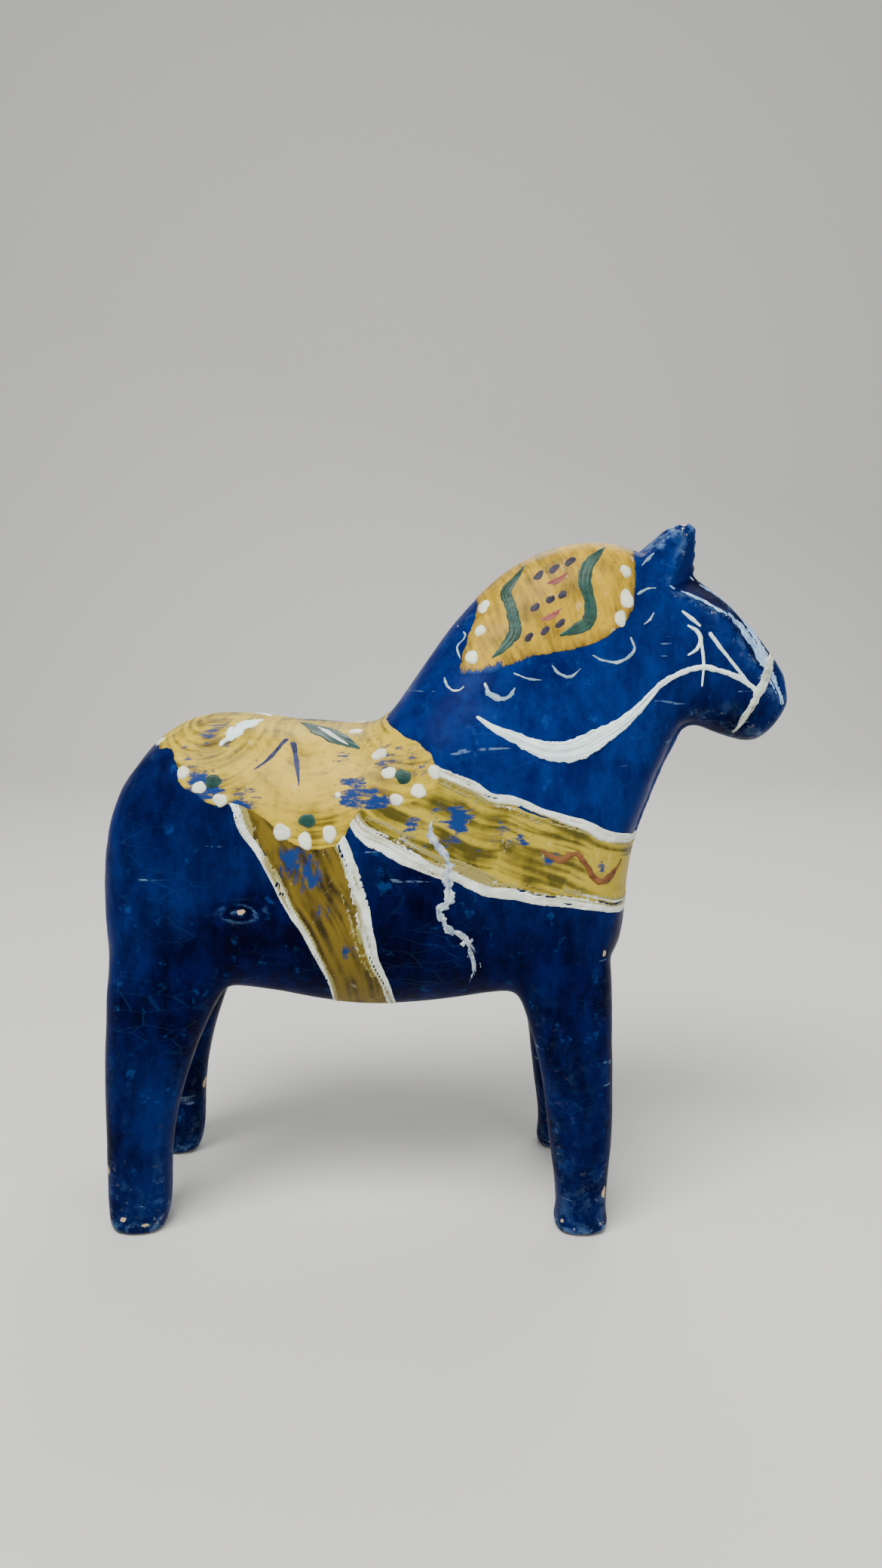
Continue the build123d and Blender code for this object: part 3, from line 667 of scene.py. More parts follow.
def wood_material():
    s = Shader("bare_pine")
    grain = s.noise(60, 4, (1, 14, 14), warp=0.8)
    colour = s.mix(s.band(grain, 0.35, 0.65), (0.42, 0.27, 0.14), (0.60, 0.43, 0.26))
    return s.finish(colour, 0.75, grain, 0.2)


def paint(name, low, high, grime, grime_colour=(0.10, 0.09, 0.05), roughness=(0.42, 0.6), scale=180,
          fading_to=None):
    """A brushed paint: two tones, dirt in its hollows, and the ground showing where it is thin."""
    s = Shader(name)
    streak = s.noise(700, 3, (0.25, 1, 1), rough=0.6)
    body = s.noise(scale, 5, rough=0.6)
    colour = s.mix(s.band(s.plus(s.times(body, 0.6), s.times(streak, 0.4)), 0.36, 0.64), low, high)
    lift = s.attribute("lift")
    colour = s.mix(s.band(lift, 1.1, 0.72, 0.0, grime), colour, grime_colour)
    specks = s.band(s.noise(520, 3, rough=0.8, offset=(4, 2, 9)), 0.66, 0.70)
    colour = s.mix(s.times(specks, grime * 1.6, True), colour, grime_colour)
    if fading_to:
        worn = s.plus(s.attribute("fade"), s.times(s.noise(300, 5, rough=0.75), 0.5))
        colour = s.mix(s.band(worn, 0.35, 1.05, 0.0, 0.95), colour, fading_to)
    rough = s.band(body, 0.3, 0.7, *roughness)
    height = s.plus(s.times(streak, 0.7), s.times(s.noise(1400, 2), 0.3))
    return s.finish(colour, rough, height, 0.45, 0.00022)


# ---------------------------------------------------------------- the ground coat
SHADE_AND_HIGHLIGHT_SPOTS = [  # painted shade and highlight, as amount, place and size: darker beside the girth, under the jaw and on the flank, lighter on the shoulder
    (-0.9, (-7, 94), (8, 15)), (-0.55, (80, 143), (14, 8)), (0.45, (12, 150), (22, 14)),
    (-0.5, (-45, 84), (20, 16))]


def oval(p, place, size):
    """1 at a place seen from the side, falling off smoothly over its size in x and z."""
    return np.exp(-((p[:, 0] - place[0]) / size[0]) ** 2 - ((p[:, 2] - place[1]) / size[1]) ** 2)


def coat_attributes(p, nrm):
    """How bright the blue is, as painted light and shade over random mottling, and how rubbed, at each point.
    """
    x, _, z = p.T
    large = layered(p, (26, 26, 30), 21, 3)
    # painted light and shade: brighter on the neck, shoulder and rump, near black under the belly, down the
    # legs and beside the girth
    tone = 0.35 + 0.75 * ease(96, 150, z + 0.25 * x) * ease(-30, 10, x)
    tone += 0.25 * ease(30, 60, z) * ease(-60, -88, x)
    tone += (large - 0.5) * 1.5
    tone -= 0.55 * ease(104, 74, z) * ease(40, 60, z)
    tone -= 0.35 * ease(60, 30, z)
    for amount, place, size in SHADE_AND_HIGHLIGHT_SPOTS:
        tone += amount * oval(p, place, size)
    tone -= 0.50 * ease(54, 70, x) * ease(136, 146, z)
    wear = np.clip(sharp * 1.25 - 0.16, 0, 1) * (0.35 + 0.9 * layered(p, 5, 44, 3))
    wear *= 0.25 + 0.75 * np.clip(ease(140, 175, z) + ease(30, 6, z) * 0.8 + ease(125, 140, z) * 0.5, 0, 1)
    # painted shade: darker on the brow where it faces upwards, and under the jaw
    brow = ease(58, 64, x) * ease(152, 160, z) * ease(190, 184, z)
    tone -= 0.75 * brow * ease(0.22, 0.42, nrm[:, 2])
    tone *= 1 - 0.85 * oval(p, (86, 140), (16, 8))
    return np.clip(tone, 0, 1), np.clip(wear, 0, 1)


def chip_field(p):
    """Bare spots: a few worn chips on the feet, the ear tips and the knot."""
    f = np.zeros(len(p))
    spots = [
        (side_point(45.2, 12.5), 1.0, (0.7, 2, 1.6)), (side_point(33.5, 4.2), 0.7, (1, 2, 0.8)),
        (snap((-94.6, -30, 18.5)), 0.8, (1, 2, 1.9)), (snap((-90, -32.5, 5)), 0.8, (1.2, 2, 0.8)),
        (snap((-84, -33, 3.5)), 0.7, (1.4, 2, 0.7)), (side_point(44.6, 81), 0.9, (0.8, 2, 1.2)),
        (snap((-76, 24, 22)), 1.0, (1, 2, 1.8)), (snap((-94, 30, 9)), 0.8, (1, 2, 1.2)),
        (snap((67.4, -9, 199)), 1.1, (1.3, 1, 0.8)), (snap((70.4, -8, 198)), 0.7, (1, 1, 1)),
        (side_point(-54.8, 94.2), 0.9, (1.3, 2, 0.9)), (side_point(-51.8, 93.2), 0.5, (1.6, 2, 0.5)),
    ]
    for centre, radius, squash in spots:
        d = np.linalg.norm((p - centre) / (radius * np.asarray(squash)), axis=1)
        f = np.maximum(f, np.clip(1.45 - d + (noise(p, 0.9, 71) - 0.5) * 0.9, 0, 1))
    return f


# tone holds painted light and shade over random mottling
tone, wear = coat_attributes(body_v, body_n)
chip = chip_field(body_v)
dented_v = body_v - body_n * (CHIP_DEPTH * ease(0.4, 0.7, chip))[:, None]
coat_v, coat_values, coat_t, _ = clipped(
    dented_v, np.stack([tone, wear, chip], 1), body_t, body_v[:, 2] - SOLE_CUT)

# Close each sole with a fan of triangles round its middle.
FEET = [(39.3, -27.3), (39.3, 27.3), (-87.3, -25.3), (-87.3, 25.3)]
FOOT_REACH = 14
rim = open_edges(coat_t)
caps = []
for k, foot in enumerate(FEET, len(coat_v)):
    mine = np.linalg.norm(coat_v[rim[:, 0]][:, :2] - foot, axis=1) < FOOT_REACH
    caps.append(np.stack([rim[mine, 1], rim[mine, 0], np.full(mine.sum(), k)], 1))
coat_v = np.concatenate([coat_v, [(*foot, SOLE_CUT) for foot in FEET]])
coat_values = np.concatenate([coat_values, np.zeros((len(FEET), 3))])
coat_t = np.concatenate([coat_t, *caps])
coat = new_object("coat_skin", coat_v, coat_t, blue_material(),
                  {"tone": coat_values[:, 0], "wear": coat_values[:, 1], "chip": coat_values[:, 2]})
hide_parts("blue_ground_coat")
print("coat", len(coat_t), "triangles")

# The wood follows the same worked surface, so that the coat covers it everywhere but at the soles.
WOOD_DEPTH = 1.6     # in thicknesses of the coat
SOLE_HEIGHT = 0.4    # the wood below this is flat on the ground
wood_v = body_v - body_n * COAT * WOOD_DEPTH
wood_v[:, 2] = np.where(fixed_v[:, 2] < SOLE_HEIGHT, 0.0, np.maximum(wood_v[:, 2], 0.0))
wood = new_object("wood_core", wood_v, body_t, wood_material())
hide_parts("carved_body")

# ---------------------------------------------------------------- outlines of the marks, seen from the side
MANE_EDGE = [
    (11.2, 188), (10.1, 176.5), (8.5, 171.1), (5.7, 163.5), (3.8, 157.4), (10.5, 157.4), (18.9, 160),
    (26.6, 162.3), (35.7, 164.2), (42.6, 166.8), (46.6, 169.3), (50.2, 172.3), (52.6, 176.5), (53.0, 183),
    (53.6, 190), (54, 204)]
MANE_LEFT = MANE_EDGE[0:5]
MANE_LOW = MANE_EDGE[4:11]
MANE_RIGHT = MANE_EDGE[9:16]
CLOTH_EDGE = [
    (-83, 150), (-79.6, 138), (-74.2, 137.6), (-71.3, 132.3), (-70.3, 128.6), (-65.5, 125.6), (-62.3, 123.4),
    (-55.8, 123.6), (-48, 119.6), (-42, 114.4), (-37.8, 111.8), (-32.8, 111.2), (-28.3, 113), (-26.3, 115.9),
    (-22.5, 121.5), (-17.8, 122.2), (-13.4, 122.6), (-9, 123.7), (-4.5, 126), (-1.9, 128.6), (-1.3, 131.5),
    (-3.1, 135.8), (-5.8, 138.8), (-11.2, 141.6), (-16, 144.5), (-17, 152), (-40, 160)]
CLOTH_SCALLOPS = CLOTH_EDGE[1:24]
GIRTH_REAR = [
    (-60, 130), (-55.8, 123.9), (-53.3, 117.1), (-49.5, 111.4), (-45.8, 104.2), (-42.2, 96.1), (-38.2, 89.5),
    (-35.4, 83.2), (-31.7, 73), (-30.9, 64.4), (-30.4, 56)]
GIRTH_FRONT = [
    (-30.5, 119), (-27.9, 113.2), (-25.4, 106.7), (-23.2, 99.5), (-21.5, 92.8), (-20.1, 85.2), (-18.4, 78.9),
    (-15.3, 71.6), (-13.5, 63.4), (-13, 56)]
BREAST_TOP = [
    (-7, 134.5), (-1.3, 132.1), (6.4, 128.8), (12.1, 125.3), (18.5, 124.3), (25.2, 121.4), (30.9, 119.6),
    (39, 116.9), (43.3, 114.6), (50.2, 112.6), (60, 110)]
BREAST_BOTTOM = [
    (-30, 124), (-24.1, 119.7), (-21.3, 115.9), (-15.4, 113.2), (-9, 109.4), (-1.3, 105.5), (4, 104.2),
    (12.1, 100.4), (18.6, 99.6), (26.4, 97.6), (35, 96.6), (43.7, 94.7), (47.3, 93.4), (60, 91)]
OUTLINE_STEP = 1.6  # spacing of the points along an outline


def moved_line(line, dx, dz):
    return [(a + dx, b + dz) for a, b in line]


def outline_of(loop):
    return dense(loop, closed=True, step=OUTLINE_STEP)


def distance_to(p, line):
    """How far each point lies from a line, seen from the side."""
    return near_segments(flat(p), dense(line, step=OUTLINE_STEP))[0]


def flat(p):
    """Points as seen from the side, in x and z."""
    return np.stack([p[:, 0], p[:, 2]], 1)


def patch(loop, seed, rough, fringe=None):
    """A field for a brushed patch with a ragged edge, and brush ends along part of it."""
    outline = outline_of(loop)

    def field(p):
        coarse = noise(p, (2.4, 4, 2.4), seed) - 0.5
        fine = noise(p, (0.9, 2, 0.9), seed + 1) - 0.5
        f = polygon_field(flat(p), outline) + (2.0 * coarse + fine) * rough
        if fringe:
            f = f + fringe(p)
        return f, 0.85 + 0.3 * noise(p, (1.4, 1.4, 0.6), seed + 2)
    return field


def patch_box(loop):
    a = np.asarray(loop)
    return [((a[:, 0].min(), -60, a[:, 1].min()), (a[:, 0].max(), 0, a[:, 1].max()))]


def marks_layer(name, node, slot, material, marks, splits=2, thickness=0.30, base=0.16, **more):
    low, high = marks.reach()
    return layer(name, node, slot, material, marks.field, list(zip(low, high)), splits, thickness, base,
                 edge=0.4, **more)


def strokes(rows, **shared):
    """Brush strokes from rows of a path, the widths along it, a seed and, for some, options of their own."""
    marks = Marks()
    for path, widths, seed, *own in rows:
        marks.stroke(path, widths, seed, **{**shared, **(own[0] if own else {})})
    return marks


def dots(rows, turn=0.0, first_seed=0):
    """Touches of a round brush from rows of x, z, half width and half height."""
    marks = Marks()
    for seed, (dx, dz, wide, tall) in enumerate(rows, first_seed):
        marks.dot((dx, dz), wide, tall, turn, seed)
    return marks


# ---------------------------------------------------------------- paints
BLUE_UNDER = (0.004, 0.030, 0.150)
EDGE_BROWN = (0.055, 0.020, 0.008)
YELLOW_GRIME = (0.14, 0.10, 0.03)
FLECK = (0.80, 0.74, 0.46)
WORN_THROUGH = (0.60, 0.67)  # where between these the yellow has worn to the blue

white_paint = paint("white_paint", (0.64, 0.80, 0.80), (0.86, 1.0, 0.98), 0.18, (0.20, 0.22, 0.20))
line_paint = paint("line_paint", (0.56, 0.60, 0.52), (0.86, 0.92, 0.84), 0.45, (0.30, 0.27, 0.10),
                   fading_to=(0.24, 0.20, 0.035))
dot_paint = paint("dot_paint", (0.60, 0.62, 0.46), (0.88, 0.90, 0.76), 0.3, (0.30, 0.26, 0.10))
vein_paint = paint("vein_paint", (0.50, 0.56, 0.48), (0.80, 0.88, 0.80), 0.2)
green_paint = paint("green_paint", (0.005, 0.028, 0.022), (0.022, 0.074, 0.058), 0.1, (0.25, 0.28, 0.18),
                    roughness=(0.3, 0.45))
plum_paint = paint("plum_paint", (0.012, 0.010, 0.024), (0.045, 0.036, 0.060), 0.1)
red_paint = paint("red_paint", (0.17, 0.035, 0.035), (0.36, 0.11, 0.09), 0.15)
navy_paint = paint("navy_paint", (0.012, 0.014, 0.050), (0.045, 0.055, 0.13), 0.1)
rust_paint = paint("rust_paint", (0.085, 0.030, 0.010), (0.22, 0.085, 0.025), 0.2)
# pale blue for the nose: a painted highlight, partly worn pale paint
pale_blue_highlight_paint = paint("pale_blue_highlight_paint", (0.14, 0.32, 0.58), (0.46, 0.66, 0.88), 0.15)
strap_paint = paint("strap_paint", (0.22, 0.24, 0.20), (0.62, 0.66, 0.58), 0.3)
curl_paint = paint("curl_paint", (0.16, 0.27, 0.36), (0.50, 0.62, 0.64), 0.3, (0.04, 0.10, 0.18))
drip_paint = paint("drip_paint", (0.14, 0.20, 0.30), (0.58, 0.68, 0.70), 0.5, (0.03, 0.07, 0.16), scale=420)


def yellow(name, low, high, streaks, arcs, contrast=(0.37, 0.62), middle=None):
    """Brushed yellow with hair lines, wearing through to the blue. Arcs is the share of the hairs that
    follow the shape of the mark."""
    s = Shader(name)
    hair = s.noise(streaks[0], 3, streaks[1], rough=0.65)
    wide = s.noise(90, 4, (1, 1, 0.6), rough=0.6)
    hair = s.plus(s.times(s.attribute("arc"), arcs), s.times(hair, 1 - arcs))
    tone = s.plus(s.times(hair, 0.55), s.times(wide, 0.45))
    colour = s.mix(s.band(tone, *contrast), low, high)
    if middle:
        colour = s.mix(s.times(s.attribute("middle"), s.band(wide, 0.35, 0.6, 0.25, 0.72)), colour, middle)
    colour = s.mix(s.times(s.attribute("edge"), s.band(hair, 0.3, 0.55, 0.9, 0.5)), colour, EDGE_BROWN)
    colour = s.mix(s.band(s.attribute("lift"), 1.05, 0.88, 0.0, 0.12), colour, YELLOW_GRIME)
    speck = s.band(s.noise(560, 3, rough=0.8, offset=(4, 2, 9)), 0.635, 0.69)
    colour = s.mix(s.times(speck, 0.75), colour, YELLOW_GRIME)
    pale = s.band(s.noise(300, 4, (1, 1, 0.5), rough=0.75, offset=(7, 1, 3)), 0.62, 0.70)
    colour = s.mix(s.times(pale, 0.30), colour, FLECK)
    worn = s.times(s.noise(520, 6, streaks[1], rough=0.8, offset=(2, 2, 2)), 0.60)
    worn = s.plus(worn, s.times(s.attribute("thin"), 0.34))
    worn = s.plus(worn, s.times(s.noise(170, 5, rough=0.75, offset=(9, 2, 2)), 0.30))
    through = s.band(worn, *WORN_THROUGH)
    colour = s.mix(through, colour, BLUE_UNDER)
    height = s.minus(s.times(hair, 0.8), s.times(through, 0.8))
    return s.finish(colour, s.band(wide, 0.3, 0.7, 0.40, 0.56), height, 0.5, 0.00025)


def wear_near(spots):
    """How thin the paint has worn, from spots of x, z, radius and strength."""
    def value(p):
        q = flat(p)
        out = np.zeros(len(p))
        for sx, sz, radius, strength in spots:
            d = np.linalg.norm((q - (sx, sz)) / radius, axis=1)
            out = np.maximum(out, strength * np.exp(-d * d))
        return out
    return value


# ---------------------------------------------------------------- mane
def mane_thin(p):
    """Worn along the crest and along the lower edge."""
    crest = ease(13.5, 4, np.abs(p[:, 1])) * ease(168, 186, p[:, 2])
    low = ease(164.5, 158.5, p[:, 2] - 0.18 * p[:, 0] + 3.6)
    return np.clip(0.9 * low + 0.55 * crest * noise(p, 5, 91), 0, 1)


def mane_hairs(p):
    """Brush hairs that run down the mane, leaning back."""
    lean = p[:, 0] + 0.42 * p[:, 2] + (noise(p, (9, 9, 14), 49) - 0.5) * 5
    run = np.stack([(p[:, 2] - 0.35 * p[:, 0]) / 16, lean / 0.62, np.sign(p[:, 1])], 1)
    return np.clip(noise(run, 1.0, 45) * 0.55 + noise(run, (0.5, 5.2, 1), 46) * 0.5 - 0.03, 0, 1)


def mane_fringe(p):
    """Lets the brush hairs run out unevenly along the lower edge."""
    low = ease(166, 160, p[:, 2] - 0.22 * p[:, 0] + 3.0)
    return ((mane_hairs(p) - 0.5) * 0.9 + (noise(p, 7.0, 48) - 0.5) * 2.4) * low


def mane_edge_tone(p):
    """Brown along the edges, most of all the right one."""
    right = 0.9 * ease(2.2, 0.2, distance_to(p, MANE_RIGHT))
    left = 0.6 * ease(2.4, 0.4, distance_to(p, MANE_LEFT))
    low = 0.62 * ease(3.0, 0.2, distance_to(p, MANE_LOW) + (mane_hairs(p) - 0.5) * 3.0)
    return np.maximum.reduce([right, left, low])


layer("mane", "mane_patch", "mane_yellow",
      yellow("mane_yellow", (0.11, 0.066, 0.004), (0.53, 0.325, 0.014), (420, (1, 1, 0.16)), 0.42,
             contrast=(0.30, 0.62)),
      patch(MANE_EDGE, 31, 0.45, mane_fringe), patch_box(MANE_EDGE), 1, 0.22,
      extra={"thin": mane_thin, "edge": mane_edge_tone, "arc": mane_hairs})
marks_layer("leaves", "mane_leaves", "mane_green", green_paint, strokes([
    ([(23.3, 187.4), (20.2, 183.5), (17.6, 180.2), (18.3, 176.9), (19.1, 173.4), (19.4, 168.9), (16.9, 165.2),
      (13.6, 162.1)], [0.6, 2.3, 3.7, 3.2, 3.5, 3.9, 2.8, 0.8], 1),
    ([(45.2, 192.1), (42.3, 189.7), (40.2, 187.2), (38.9, 182.6), (40.3, 176.4), (39.7, 171.9), (36.3, 169.7),
      (32.2, 168.1)], [0.8, 2.7, 3.9, 3.8, 3.3, 4.1, 3.7, 0.8], 2)]), base=0.14, thickness=0.24)
dash_places = [(26.5, 184.3), (30.7, 186.1), (35.3, 188.2), (25.2, 175.6), (29.3, 177.7), (32.7, 179.1),
               (23.3, 167.5), (27.8, 169.3), (32, 171.3)]
dash_rows = [(dx, dz, 2.1 if i < 3 else 1.8, 1.05) for i, (dx, dz) in enumerate(dash_places)]
marks_layer("dashes", "mane_dashes", "mane_dark", plum_paint, dots(dash_rows, 0.75),
            base=0.14, thickness=0.18)
marks_layer("red_touches", "mane_red_touches", "mane_red", red_paint, strokes([
    ([(28.4, 181.9), (31.8, 183.0), (34.4, 185.2)], [0.5, 2.1, 1.6, 0.4], 4),
    ([(26.4, 172.3), (29.7, 173.2), (32.4, 175.4)], [0.5, 2.0, 1.5, 0.4], 5)]), base=0.14, thickness=0.2)
marks_layer("mane_spots", "mane_dots", "mane_white", dot_paint, dots([
    (11.4, 175.9, 1.7, 2.3), (10.3, 169.3, 1.5, 1.8), (7.9, 162.1, 1.7, 2.2), (50.4, 185.5, 1.5, 1.9),
    (50.5, 177.9, 1.9, 2.5), (48.7, 172.6, 1.7, 2.1)], 0.1), base=0.18, thickness=0.34)


# ---------------------------------------------------------------- saddle cloth
LOBES = [(-36, 146), (-66, 150), (-10, 150)]
cloth_worn = wear_near([
    (-64, 128, 7, 0.74), (-54, 124, 5, 0.58), (-24, 127, 6, 0.70), (-18, 125, 5, 0.62), (-14, 134, 6, 0.46),
    (-27, 136, 4, 0.4), (-67, 134, 5, 0.4), (-8, 134, 5, 0.4), (-63, 140, 8, 0.34), (-33, 142, 8, 0.3),
    (-71, 137, 5, 0.3)])


def cloth_thin(p):
    """Worn where the horse has been held."""
    return np.clip(cloth_worn(p) + 0.42 * (layered(p, (9, 9, 5), 77, 3) - 0.32), 0, 1)


def cloth_middle(p):
    """The paler middle of the cloth."""
    d = np.linalg.norm((flat(p) - (-37, 131)) / (20, 11), axis=1)
    return ease(1.3, 0.5, d)


def cloth_arcs(p):
    """Brush hairs swept round in arcs above each lobe of the cloth."""
    q = flat(p)
    total = np.zeros(len(p))
    out = np.zeros(len(p))
    wander = (noise(p, 7, 36) - 0.5) * 12
    for k, lobe in enumerate(LOBES):
        d = q - lobe
        angle = np.arctan2(d[:, 1], d[:, 0])
        polar = np.stack([angle * 2.2 + k * 9, np.linalg.norm(d, axis=1) / 0.62, np.zeros(len(p))], 1)
        hair = noise(polar, 1.0, 33) * 0.6 + noise(polar, (1, 2.3, 1), 34) * 0.4
        weight = 1 / (1 + (np.abs(d[:, 0] + wander) / 13) ** 6)
        out += (hair - 0.5) * weight
        total += weight
    return 0.5 + out / np.maximum(total, 0.001) * np.clip(total * 1.4, 0.6, 1)


def cloth_edge_tone(p):
    return 0.35 * ease(0.9, 0.1, distance_to(p, CLOTH_SCALLOPS)) * noise(p, 3, 14)


layer("cloth", "saddle_cloth", "cloth_yellow",
      yellow("cloth_yellow", (0.085, 0.058, 0.004), (0.57, 0.40, 0.024), (330, (0.22, 1, 1)), 0.58,
             contrast=(0.34, 0.60), middle=(0.66, 0.45, 0.062)),
      patch(CLOTH_EDGE, 51, 0.5), patch_box(CLOTH_EDGE), 1, 0.22, 0.02,
      extra={"thin": cloth_thin, "edge": cloth_edge_tone, "middle": cloth_middle, "arc": cloth_arcs})
marks_layer("cloth_spots", "saddle_cloth_dots", "cloth_white", dot_paint, dots([
    (-79, 138.4, 1.6, 1.8), (-69.8, 131.7, 1.6, 2.0), (-65.3, 127.9, 1.8, 1.7), (-59.7, 124.6, 1.9, 1.8),
    (-43.2, 116.1, 2.4, 2.2), (-37, 113.8, 1.9, 2.3), (-30.5, 115.7, 1.9, 2.3), (-17.3, 136.1, 2.1, 1.6),
    (-14.7, 131.5, 1.9, 1.7), (-12.6, 124.6, 1.7, 1.8), (-6.7, 127, 2.1, 1.9), (-2.4, 132.1, 1.8, 1.9),
    (-28.3, 125.8, 0.9, 0.9), (-24.6, 141, 2.3, 1.2)], 0.3), base=0.2, thickness=0.36)
marks_layer("cloth_green_spots", "saddle_cloth_green_dots", "cloth_green", green_paint, dots([
    (-61.6, 129.5, 2.1, 2.0), (-36.4, 119.2, 2.2, 2.0), (-10.8, 130.6, 2.2, 2.1)], first_seed=1),
    base=0.18, thickness=0.24)
marks_layer("cloth_leaf", "saddle_cloth_leaf", "leaf_green", green_paint, strokes([
    ([(-41, -4, 142.6), (-37, -9, 141.8), (-32, -16, 140), (-27, -21, 138.6), (-23.2, -24, 137.4)],
     [1.2, 6.0, 8.2, 6.2, 1.2], 8)]), base=0.14, thickness=0.24)
marks_layer("cloth_leaf_vein", "saddle_cloth_leaf_vein", "vein_white", vein_paint, strokes([
    ([(-35.5, -10, 141.6), (-32.6, -15, 140.4), (-29.6, -19, 139.3), (-26.2, -22.5, 138.2)],
     [0.8, 2.0, 1.6, 0.6], 9)]), base=0.3, thickness=0.26)
marks_layer("cloth_white", "saddle_cloth_white_stroke", "stroke_white", white_paint, strokes([
    ([(-60.2, -26, 138.6), (-57.4, -22, 141.2), (-55, -16, 142.6), (-51.6, -8, 143.3)],
     [1.2, 4.2, 4.2, 1.2], 10)], rough=0.4, dry=0.3), base=0.2, thickness=0.3)
marks_layer("cloth_dark", "saddle_cloth_blue_strokes", "stroke_blue", navy_paint, strokes([
    ([(-43.1, 139.5), (-46.9, 135.2), (-51.9, 131.7)], [1.8, 1.5, 0.5], 11),
    ([(-41.1, 138.6), (-39.3, 132.5), (-38.6, 126.4)], [2.1, 1.6, 0.5], 12)]), base=0.14, thickness=0.2)

# ---------------------------------------------------------------- girth and breast band
girth_loop = [*moved_line(GIRTH_REAR, 1.0, 0), *reversed(moved_line(GIRTH_FRONT, -1.4, 0))]
breast_loop = [*moved_line(BREAST_TOP, 0, -1.2), *reversed(moved_line(BREAST_BOTTOM, 0, 1.2))]
cloth_outline = outline_of(CLOTH_EDGE)


def hairs_along(along, across, length, spacing, run_length):
    """Points in brush-hair space: slow along the stroke and one cell to each hair across it."""
    return np.stack([along * length / run_length, across / spacing, np.zeros(len(along))], 1)


def band_hairs(line, seed):
    """Brush hairs that run along a band."""
    path = dense(line, step=OUTLINE_STEP)

    def value(p):
        _, along, across, length = near_segments(flat(p), path)
        run = hairs_along(along, across, length, 0.62, 16)
        return np.clip(noise(run, 1.0, seed) * 0.55 + noise(run, (0.6, 2.6, 1), seed + 1) * 0.6 - 0.07, 0, 1)
    return value


def band_field(loop, seed):
    """A band inside its outline, ending where the cloth begins."""
    outline = np.asarray(loop, float)

    def field(p):
        q = flat(p)
        f = np.minimum(polygon_field(q, outline), -polygon_field(q, cloth_outline) + 0.6)
        return f + (noise(p, (2, 3, 2), seed) - 0.5) * 0.7, 0.85 + 0.3 * noise(p, 1.1, seed + 2)
    return field


girth_thin = wear_near([
    (-38, 106, 9, 0.55), (-41, 110, 3.6, 0.75), (-35, 102, 3.4, 0.66), (-33, 94, 3.4, 0.6),
    (-26, 83.5, 3.2, 0.55), (-37, 106, 8, 0.42), (-30, 96, 7, 0.36), (-31, 87, 6, 0.34)])
breast_thin = wear_near([
    (2, 118, 10, 0.5), (18, 115, 9, 0.46), (4, 119.5, 5.6, 0.8), (15.5, 116.7, 3.6, 0.62),
    (20.6, 114, 3.4, 0.62), (29, 108.7, 3.2, 0.6), (43, 104, 3.4, 0.56), (-9, 116, 7, 0.52),
    (-3, 112, 6, 0.46), (36, 103, 6, 0.3), (8, 110, 6, 0.3)])
layer("girth", "girth_band", "girth_yellow",
      yellow("girth_yellow", (0.022, 0.014, 0.0006), (0.155, 0.105, 0.007), (430, (1, 1, 0.30)), 0.7),
      band_field(girth_loop, 61), patch_box(girth_loop), 1, 0.12,
      extra={"thin": girth_thin, "arc": band_hairs(GIRTH_REAR, 41)})
layer("breast", "breast_band", "breast_yellow",
      yellow("breast_yellow", (0.062, 0.052, 0.003), (0.43, 0.325, 0.027), (430, (0.28, 1, 1)), 0.8),
      band_field(breast_loop, 65), patch_box(breast_loop), 1, 0.12,
      extra={"thin": breast_thin, "arc": band_hairs(BREAST_TOP, 43)})


class Lines(Marks):
    """Edge lines drawn in side view, carried round the body wherever the band goes."""

    def line(self, path, widths, seed, dry, side):
        """The side is 1 or -1: the edge of the line that the brush left dry, on the band's own side."""
        self.items.append((dense(path, step=1.2), np.asarray(widths, float), seed, dry, side))
        return self

    def reach(self):
        low = [(item[0].min(0)[0] - 3, -60, item[0].min(0)[1] - 3) for item in self.items]
        high = [(item[0].max(0)[0] + 3, 0, item[0].max(0)[1] + 3) for item in self.items]
        return low, high

    def measured(self, p):
        """For each line: distance, place along, place across, length, half width, and 1 at its dry edge."""
        q = flat(p)
        for path, widths, seed, dry, side in self.items:
            dist, along, across, length = near_segments(q, path)
            half = np.interp(along, np.linspace(0, 1, len(widths)), widths) / 2
            inner = np.clip(across / half * side, -1, 1) * 0.5 + 0.5
            yield dist, along, across, length, half, inner, seed, dry

    def fade(self, p):
        """1 where the inner side of a line thins out into the yellow."""
        best = np.full(len(p), 1e9)
        out = np.zeros(len(p))
        for dist, along, across, length, _, inner, seed, _ in self.measured(p):
            hair = noise(hairs_along(along, across, length, 0.45, 9), 1.0, seed + 21)
            value = np.clip(inner * 1.7 - 0.35 + (hair - 0.5) * 1.6, 0, 1)
            out = np.where(dist < best, value, out)
            best = np.minimum(best, dist)
        return out

    def field(self, p):
        f = np.full(len(p), -50.0)
        thick = np.ones(len(p))
        off_cloth = -polygon_field(flat(p), cloth_outline) + 0.2
        for dist, along, across, length, half, inner, seed, dry in self.measured(p):
            wobble = (noise(p, 3.4, seed) - 0.5) * 0.4 + (noise(p, 0.8, seed + 1) - 0.5) * 0.12
            streak = noise(hairs_along(along, across, length, 0.50, 11), 1.0, seed + 11) * 0.72
            streak = streak + noise(p, 0.8, seed + 4) * 0.28
            brushed = ((streak - 0.5) * 1.9 + 0.56 - dry * 1.9 * np.clip(inner - 0.12, 0, 1)) * 1.6
            g = np.minimum.reduce([half * (1 + wobble * 0.5) - dist, brushed, off_cloth])
            thick = np.where(g > f, 0.8 + 0.5 * streak, thick)
            f = np.maximum(f, g)
        return f, thick


def edge_lines_layer(name, node, slot, rows):
    lines = Lines()
    for row in rows:
        lines.line(*row)
    marks_layer(name, node, slot, line_paint, lines, splits=1, base=0.15, thickness=0.07,
                extra={"fade": lines.fade})


